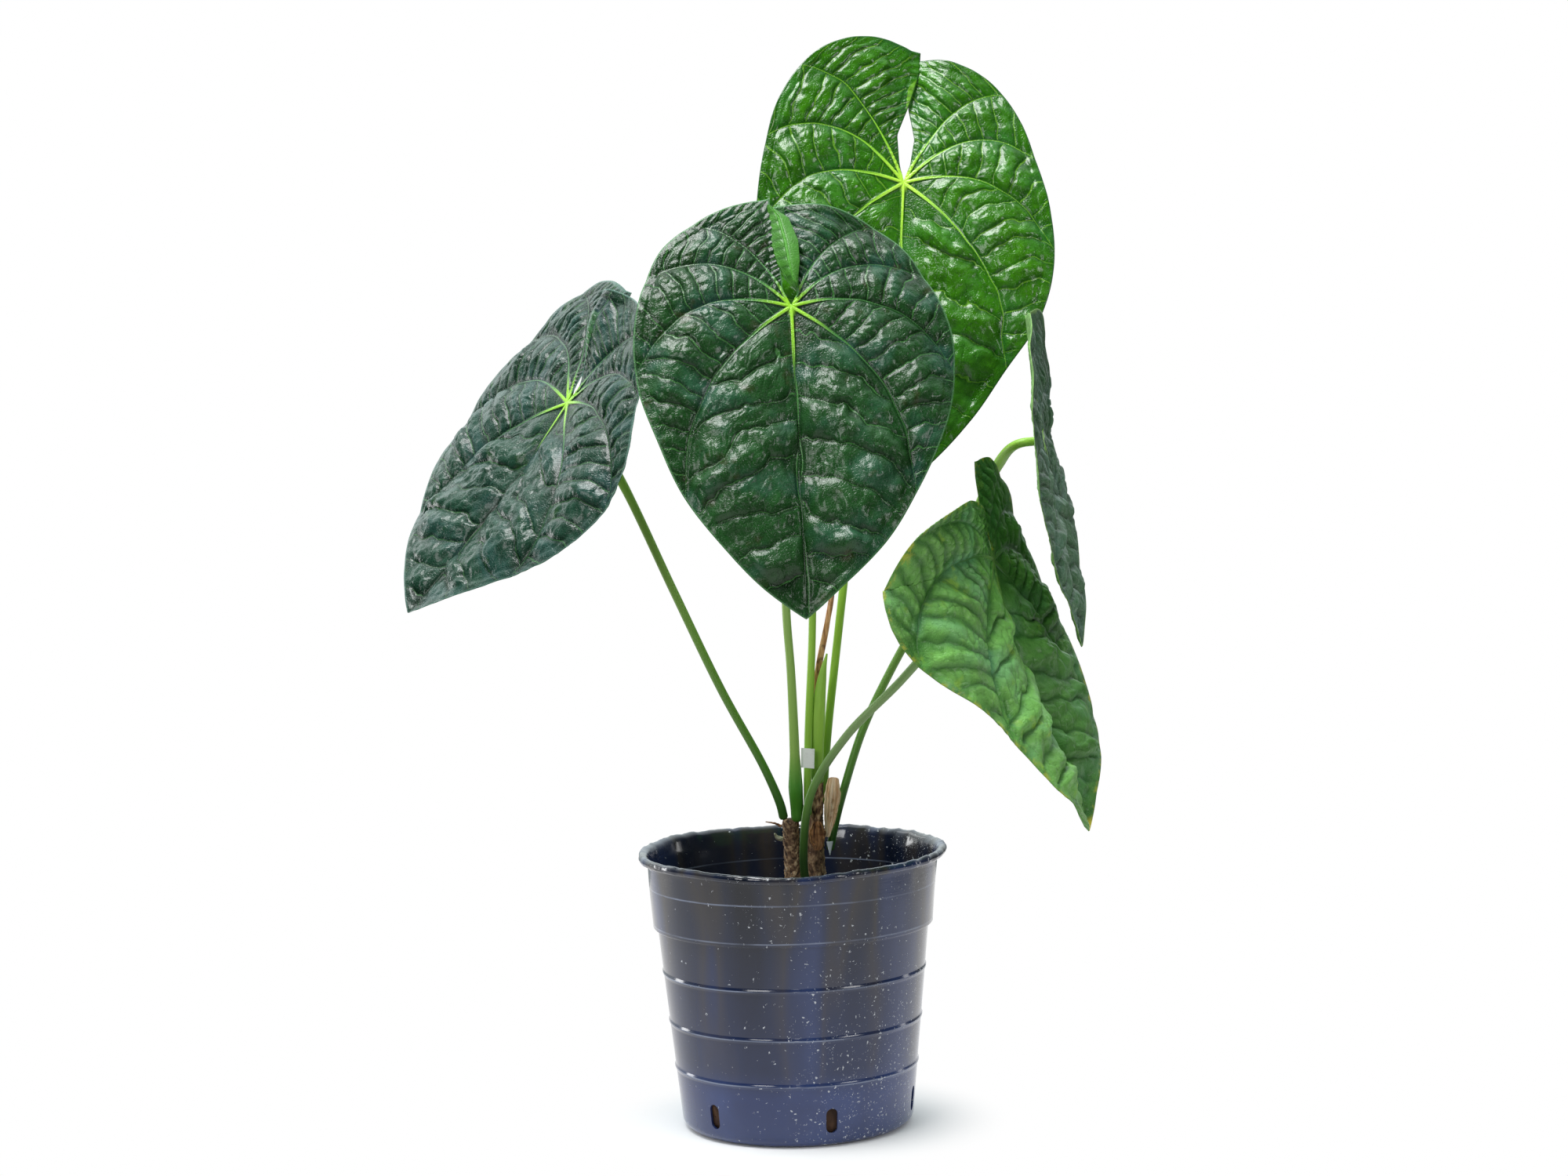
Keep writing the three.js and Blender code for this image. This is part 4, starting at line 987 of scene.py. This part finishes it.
# leaf stalks
stalks = {
    "front": {"route": [[4.6, -3, 199.4], [4.5, -4, 207], [4, -8, 219], [4, -11, 237], [3, -15, 295], [1, -19, 341],
                        [4, -32, 426], [8, -50, 495]],
              "swell": [1.5, 1.75, 1.2, 1.12, 1.05, 1, 1, 1, 1, 1, 1, 1, 1.02, 1.05, 1.2, 1.3, 1], "tone": "olive"},
    "back": {"route": [[22, 10.8, 208], [23, 10, 226], [26, 11, 255], [35, 18, 321], [39, 24, 349], [48, 60, 410],
                       [60, 98, 480], [77, 120, 566]],
             "swell": [1.1, 1, 1, 1, 1, 1, 1.05, 1.3, 1], "tone": "bright"},
    "left": {"route": [[-4.4, 1, 200], [-6.4, -1, 209], [-16, -3, 233], [-42, -4, 284], [-71, -3, 349],
                       [-102, 1, 419], [-119, 5, 449]],
             "swell": [1.1, 1, 1, 1, 1, 1, 1.05, 1.3, 1], "tone": "dark"},
    "lower_right": {"route": [[13, -8.2, 143], [9, -20, 158], [8, -26, 184], [14, -30, 220], [37, -35, 256],
                              [73, -42, 292], [98, -52, 322], [113, -62, 348]],
                    "swell": [1, 1, 1, 1, 1, 1, 1.05, 1.3, 1], "tone": "grey"},
    "far_right": {"route": [[25.4, 4, 178], [29, 5, 194], [35, 6, 215], [49, 10, 255], [68, 15, 292], [98, 18, 343],
                            [125, 12, 393], [139, -4, 424]],
                  "swell": [1, 1, 1, 1, 1, 1, 1.05, 1.35, 1], "tone": "dark"},
}
stalkRadius = 2.6
# colour marks along each stalk, from its foot at 0 to its leaf at 1
stalkTones = {
    "olive": [(0.0, (0.06, 0.25, 0.02)), (0.07, (0.07, 0.32, 0.02)), (0.13, (0.28, 0.48, 0.09)),
              (0.5, (0.30, 0.47, 0.13)), (0.85, (0.22, 0.40, 0.08)), (1.0, (0.25, 0.50, 0.06))],
    "grey": [(0.0, (0.01, 0.03, 0.006)), (0.13, (0.02, 0.06, 0.01)), (0.27, (0.10, 0.24, 0.03)),
             (0.45, (0.22, 0.34, 0.13)), (0.85, (0.20, 0.34, 0.11)), (1.0, (0.25, 0.50, 0.06))],
    "bright": [(0.0, (0.10, 0.26, 0.02)), (0.15, (0.26, 0.52, 0.04)), (0.5, (0.33, 0.58, 0.07)),
               (0.85, (0.28, 0.52, 0.07)), (1.0, (0.35, 0.60, 0.08))],
    "dark": [(0.0, (0.04, 0.15, 0.02)), (0.12, (0.07, 0.22, 0.02)), (0.5, (0.16, 0.31, 0.05)),
             (0.7, (0.19, 0.34, 0.06)), (0.85, (0.26, 0.50, 0.06)), (1.0, (0.30, 0.58, 0.06))],
}


def stalkMaterial(name, marks):
    # the marks' colours, with streaks and flecks that run along the stalk
    s = Shader("stalk_" + name)
    along = s.attribute("along")
    fromSeam = s.times(s.math("PINGPONG", s.attribute("around"), 0.5), 14.0)
    lengthwise = s.add("CombineXYZ", {0: fromSeam, 1: s.times(along, 9.0)})
    middle = marks[2][1]
    streak = s.noise(1.0, 3.0, lengthwise)
    body = s.ramp(along, marks)
    body = s.mix(s.span(streak, 0.35, 0.75, 0.0, 0.2), body, tuple(c * 0.6 for c in middle))
    fleck = s.noise(2.3, 2.0, lengthwise)
    body = s.mix(s.span(fleck, 0.55, 0.75, 0.0, 0.1), body, tuple(min(1, c * 1.4 + 0.02) for c in middle))
    return s.finish(colour=body, roughness=0.42, specular=0.4)


stalkLooks = {name: stalkMaterial(name, marks) for name, marks in stalkTones.items()}
for stalkName, stalk in stalks.items():
    below = -bladeAxes(leaves[stalkName])[2]
    joint = np.array(leaves[stalkName]["at"], float)
    route = stalk["route"] + [(joint + below * 16).tolist(), (joint + below * 1.2).tolist()]
    tube("stalk_" + stalkName, "petiole_" + stalkName, route, (160, 48), np.array(stalk["swell"]) * stalkRadius,
         stalkLooks[stalk["tone"]],
         lambda t, angle: 1 + 0.03 * np.cos(2 * angle) + 0.012 * np.sin(7 * angle + 9 * t))
print("leaf stalks")


# flower: stalk, spathe and spadix
def spadixMaterial():
    s = Shader("spadix")
    knob = s.attribute("knob")
    body = s.mix(s.span(knob, 0.0, 0.7), (0.20, 0.24, 0.07), (0.46, 0.50, 0.20))
    body = s.mix(s.span(s.noise(900, 2.0), 0.6, 0.8, 0.0, 0.5), body, (0.30, 0.24, 0.10))
    return s.finish(colour=body, roughness=0.6, through=0.1, throughScale=0.001, throughRadius=(0.5, 0.5, 0.2))


fx, fy, fz = flowerTop = [20.0, -13.0, 398.0]
tube("flower_stalk_green", "flower_stalk",
     [[11.4, -7.5, 203], [11.6, -7, 216], [13, -6, 253], [17, -3, 313], [18.5, -3, 350], flowerTop], (200, 28),
     [2.6, 2.5, 2.5, 2.4, 2.4, 2.2], stalkLooks["bright"],
     lambda t, a: 1 + 0.025 * np.cos(3 * a + 0.5))
spadix = {"steps": 420, "sides": 156, "across": 13, "along": 34, "radius": 4,
          "widths": [0.55, 1, 0.95, 0.8, 0.6, 0.2]}
spathe = {"away": 6.5, "width": 11, "widths": [0.25, 0.9, 1, 0.75, 0.4, 0.08], "cup": [0.2, 2.2, 2.6, 2.0, 1.0, 0]}


def knobHeight(t, angle):
    # rounded diamonds in two spiral families: |sin(pi (u + v)) sin(pi (u - v))|^0.6
    u, v = angle / (2 * np.pi) * spadix["across"], t * spadix["along"]
    return np.abs(np.sin(np.pi * (u + v)) * np.sin(np.pi * (u - v))) ** 0.6


grid, t, angle = tubeGrid([[fx, fy, fz + 0.6], [fx + 1, fy - 1, fz + 31], [fx + 3, fy - 3, fz + 62]],
                          spadix["steps"], spadix["sides"], np.array(spadix["widths"]) * spadix["radius"],
                          section=lambda t, a: 1 + 0.10 * knobHeight(t, a) - 0.06)
tubePiece("spadix_knobs", grid, spadixMaterial(), ["spadix"],
          {"knob": knobHeight(t[:, None], angle[None, :])})

front = fy + spathe["away"]
grid, t, angle = tubeGrid([[fx - 1, front, fz - 4], [fx - 3, front + 5, fz + 23], [fx - 6, front + 16, fz + 46.4]],
                          120, 72, np.array(spathe["widths"]) * spathe["width"], flat=0.07)
hollow = (np.cos(angle)[None, :, None] ** 2) * stops(spathe["cup"], t)[:, None, None]
grid = grid + hollow * np.array([0, -1, 0.25])
ribs = 0.14 * np.cos(np.cos(angle) * 22)[None, :, None] * stops([0, 1, 1, 0.8, 0.4, 0], t)[:, None, None]
grid = grid + ribs * np.array([0, -1, 0])
tubePiece("spathe_blade", grid, stalkLooks["bright"], ["spathe"])
print("flower")


# dry and young pieces
def dryMaterial(name, dark, mid, pale, stretch=0.12):
    s = Shader(name)
    streak = s.noise(420, 5.0, s.stretched(stretch))
    blotch = s.noise(130, 4.0)
    body = s.ramp(streak, [(0.3, dark), (0.5, mid), (0.7, pale)])
    body = s.mix(s.span(blotch, 0.55, 0.7, 0.0, 0.75), body, dark)
    normal = s.bump(streak, 0.0006, 0.7)
    return s.finish(colour=body, roughness=0.85, normal=normal)


brown = dryMaterial("dry_tissue", (0.10, 0.04, 0.02), (0.50, 0.24, 0.10), (0.88, 0.55, 0.30))
papery = dryMaterial("papery_sheath", (0.60, 0.33, 0.15), (0.98, 0.70, 0.44), (1.0, 0.88, 0.70), 0.08)
tube("dry_stalk_brown", "dry_stalk",
     [[15.2, 6.4, 225], [16, 5.6, 250], [18.5, 4.5, 283], [27, 4.5, 323], [31, 4, 344], [33, 3, 372]], (200, 24),
     [1.9, 1.9, 2, 1.9, 1.6, 0.7], brown,
     lambda t, a: 1 + 0.14 * np.sin(3 * a + 7 * t) + 0.06 * np.sin(8 * a - 20 * t))
tube("new_sheath_green", "new_leaf_sheath",
     [[18.5, -0.5, 223], [18, -1.8, 238], [20, -3, 270], [24, -3.4, 296], [26.5, -3, 306]], (120, 48),
     np.array([0.8, 0.95, 1, 0.9, 0.6, 0.12]) * 4.8, stalkLooks["bright"],
     lambda t, a: 1 + 0.03 * np.cos(9 * a), flat=0.6)


def curledSheath(name, node, route, width, flat, material, seed):
    # a dry flake: a flattened tube cupped across its width by cos^2, with folds and a ragged wavy edge
    grid, t, angle = tubeGrid(route, 90, 64, width, flat=flat,
                              section=lambda t, a: 1 + 0.10 * waves(t * 30 + 0 * a, np.cos(a) * 3 + 0 * t, seed, 9))
    cup = np.cos(angle)[None, :, None] ** 2 * 1.6 * np.array([0, -1, 0.2])
    folds = 0.35 * np.cos(np.cos(angle) * 15 + 1)[None, :, None] * np.array([0, -1, 0])
    wave = 0.5 * waves(t[:, None] * 40 + 0 * angle, np.cos(angle) * 6 + 0 * t[:, None], seed + 1, 14)[..., None]
    grid = grid + (cup + folds + wave * np.array([0, 1, 0])) * stops([0.3, 1, 1, 1], t)[:, None, None]
    tubePiece(name, grid, material, [node])


curledSheath("papery_sheath_tall", "dry_sheath_tall",
             [[23.6, -7.4, 188], [25.4, -7.6, 198], [27.4, -8, 212], [28.6, -9, 225]],
             np.array([0.35, 0.7, 0.95, 1.05, 0.7]) * 5, 0.10, papery, 3)
curledSheath("brown_sheath_short", "dry_sheath_short", [[17.5, -9, 180], [17.2, -9.6, 188], [17.4, -10.4, 197]],
             np.array([0.5, 0.9, 1, 0.5]) * 5.4, 0.12, brown, 9)
tube("root_stub", "aerial_root_stub", [[-5.9, -1.5, 186], [-8.4, -3, 187], [-10.4, -5, 190]], (40, 20),
     [1.6, 1.5, 1.1, 0.6], dryMaterial("root_skin", (0.30, 0.30, 0.18), (0.55, 0.56, 0.40), (0.74, 0.74, 0.58)),
     lambda t, a: 1 + 0.08 * np.sin(4 * a + 12 * t))
tube("root_thread", "aerial_root_thin", [[-6.4, -0.5, 194.4], [-10, -3, 196.5], [-16, -5, 198]], (50, 12),
     [0.9, 0.7, 0.5, 0.3], brown, lambda t, a: 1 + 0.15 * np.sin(3 * a + 25 * t))


# tags
def makeTag(name, corners, material, node, thickness=0.6, n=14):
    # a thin card facing -Y: an n x n grid between four corners, bowed by a half sine across
    u, v = [q[..., None] for q in np.meshgrid(np.linspace(0, 1, n), np.linspace(0, 1, n))]
    a, b, c, d = np.array(corners, float)
    flat = (1 - u) * (1 - v) * a + u * (1 - v) * b + u * v * c + (1 - u) * v * d
    bow = 0.35 * np.sin(np.pi * u) - 0.2 * v ** 2
    facing = np.array([0, -1.0, 0])
    top, low = flat + facing * (bow + thickness / 2), flat + facing * (bow - thickness / 2)
    points = np.concatenate([top.reshape(-1, 3), low.reshape(-1, 3)])
    declare(newPiece(name, points, slabFaces(n, n), material, soft=False), [node])


def cardMaterial(name, tone):
    s = Shader(name)
    dirt = s.noise(240, 4.0)
    body = s.mix(s.span(dirt, 0.5, 0.75, 0.0, 0.5), tone, tuple(c * 0.72 for c in tone))
    return s.finish(colour=body, roughness=0.5, normal=s.bump(s.noise(900, 3.0), 0.0002, 0.4))


makeTag("tag_card", [[7.9, -9.8, 233.6], [16.3, -9.8, 232.6], [16.9, -9.8, 245.3], [8.3, -9.8, 246.2]],
        cardMaterial("label", (0.97, 0.98, 0.98)), "plant_tag")
makeTag("tag_strip", [[24.8, -13.8, 176.6], [25.2, -13.8, 176.6], [27.2, -13.8, 185.4], [22.8, -13.8, 185.4]],
        cardMaterial("label_grey", (0.50, 0.56, 0.58)), "tag_tail")
print("dry pieces and tags")


# room: floor, lights, camera
room = {"dim": 0.03, "bright": 1.5, "white": 1.0, "tint": (0.88, 0.98, 1.0), "from": (-0.15, 0.55, 0.82),
        "floorFrom": 0.06, "floorTo": 0.14, "floorReach": 0.9, "floorSides": 96}


def stageMaterial():
    # a matt white floor that takes shadows near the pot and turns into plain light further out
    s = Shader("floor_white")
    far = s.add("VectorMath", {0: s.coords.outputs["Object"]}, out=1, operation="LENGTH")
    glow = s.span(far, room["floorFrom"], room["floorTo"])
    s.put(s.base.inputs["Emission Color"], (1, 1, 1, 1))
    s.put(s.base.inputs["Emission Strength"], glow)
    return s.finish(colour=s.mix(glow, (0.9, 0.9, 0.9), (0.0, 0.0, 0.0)), roughness=0.9, specular=0.0)


rim = [(room["floorReach"] * math.cos(a), room["floorReach"] * math.sin(a), -0.0005)
       for a in np.linspace(0, 2 * math.pi, room["floorSides"], endpoint=False)]
floorMesh = bpy.data.meshes.new("floor")
floorMesh.from_pydata(rim, [], [list(range(len(rim)))])
floorMesh.materials.append(stageMaterial())
floor = bpy.data.objects.new("floor", floorMesh)
bpy.context.scene.collection.objects.link(floor)

# the room looks white, but lights the plant from above and behind, so that glossy leaves stay dark in front
sky = Shader("studio", bpy.data.worlds, "Background")
facing = sky.add("VectorMath", {0: sky.coords.outputs["Generated"], 1: room["from"]}, out=1, operation="DOT_PRODUCT")
seen = sky.add("LightPath")
strength = sky.span(facing, 0.15, 0.95, room["dim"], room["bright"])
sky.put(sky.base.inputs["Strength"], sky.add("MapRange", {0: seen, 3: strength, 4: room["white"]}))
sky.put(sky.base.inputs["Color"], sky.mix(seen, room["tint"], (1, 1, 1)))
bpy.context.scene.world = sky.material
bpy.context.scene.view_settings.view_transform = "Standard"
lamps = {
    "overhead": {"at": (-0.45, -0.35, 2.1), "wide": 0.9, "tall": 0.9, "power": 42},
    "front_left": {"at": (-1.2, -1.9, 1.2), "wide": 0.8, "tall": 0.8, "power": 15},
    "front_right": {"at": (1.7, -1.4, 1.0), "wide": 0.6, "tall": 0.6, "power": 9},
    "back_left": {"at": (-1.5, 1.3, 1.4), "wide": 1.0, "tall": 1.0, "power": 4},
    "strip_front": {"at": (0.02, -2.1, 0.18), "wide": 0.14, "tall": 0.8, "power": 1.6, "aim": 0.1},
    "strip_left": {"at": (-1.5, 0.75, 0.2), "wide": 0.35, "tall": 0.8, "power": 6.0, "aim": 0.1},
    "strip_right": {"at": (1.5, 0.55, 0.2), "wide": 0.2, "tall": 0.8, "power": 1.6, "aim": 0.1},
}
for lampName, lamp in lamps.items():
    data = bpy.data.lights.new(lampName, "AREA")
    data.shape = "RECTANGLE"
    data.size, data.size_y = lamp["wide"], lamp["tall"]
    data.energy = lamp["power"]
    light = bpy.data.objects.new(lampName, data)
    aim = np.array([0.0, 0, lamp.get("aim", 0.35)]) - np.array(lamp["at"])
    light.rotation_euler = Vector(aim).to_track_quat("-Z", "Y").to_euler()
    light.location = lamp["at"]
    bpy.context.scene.collection.objects.link(light)

view = {"at": (0.0, -2.040, 0.508), "pitch": 4.45, "lean": -1.57, "lens": 72.72, "film": 36.0}
pitch, lean = math.radians(view["pitch"]), math.radians(view["lean"])
forward = np.array([0, math.cos(pitch), -math.sin(pitch)])
upward = np.array([0, math.sin(pitch), math.cos(pitch)])
right = np.array([1.0, 0, 0])
rightTurned = right * math.cos(lean) + upward * math.sin(lean)
upTurned = upward * math.cos(lean) - right * math.sin(lean)
cameraData = bpy.data.cameras.new("camera")
cameraData.lens = view["lens"]
cameraData.sensor_width = view["film"]
camera = bpy.data.objects.new("camera", cameraData)
turn = Matrix(np.stack([rightTurned, upTurned, -forward], 1).tolist()).to_4x4()
camera.matrix_world = Matrix.Translation(view["at"]) @ turn
bpy.context.scene.collection.objects.link(camera)
bpy.context.scene.camera = camera
print("room")
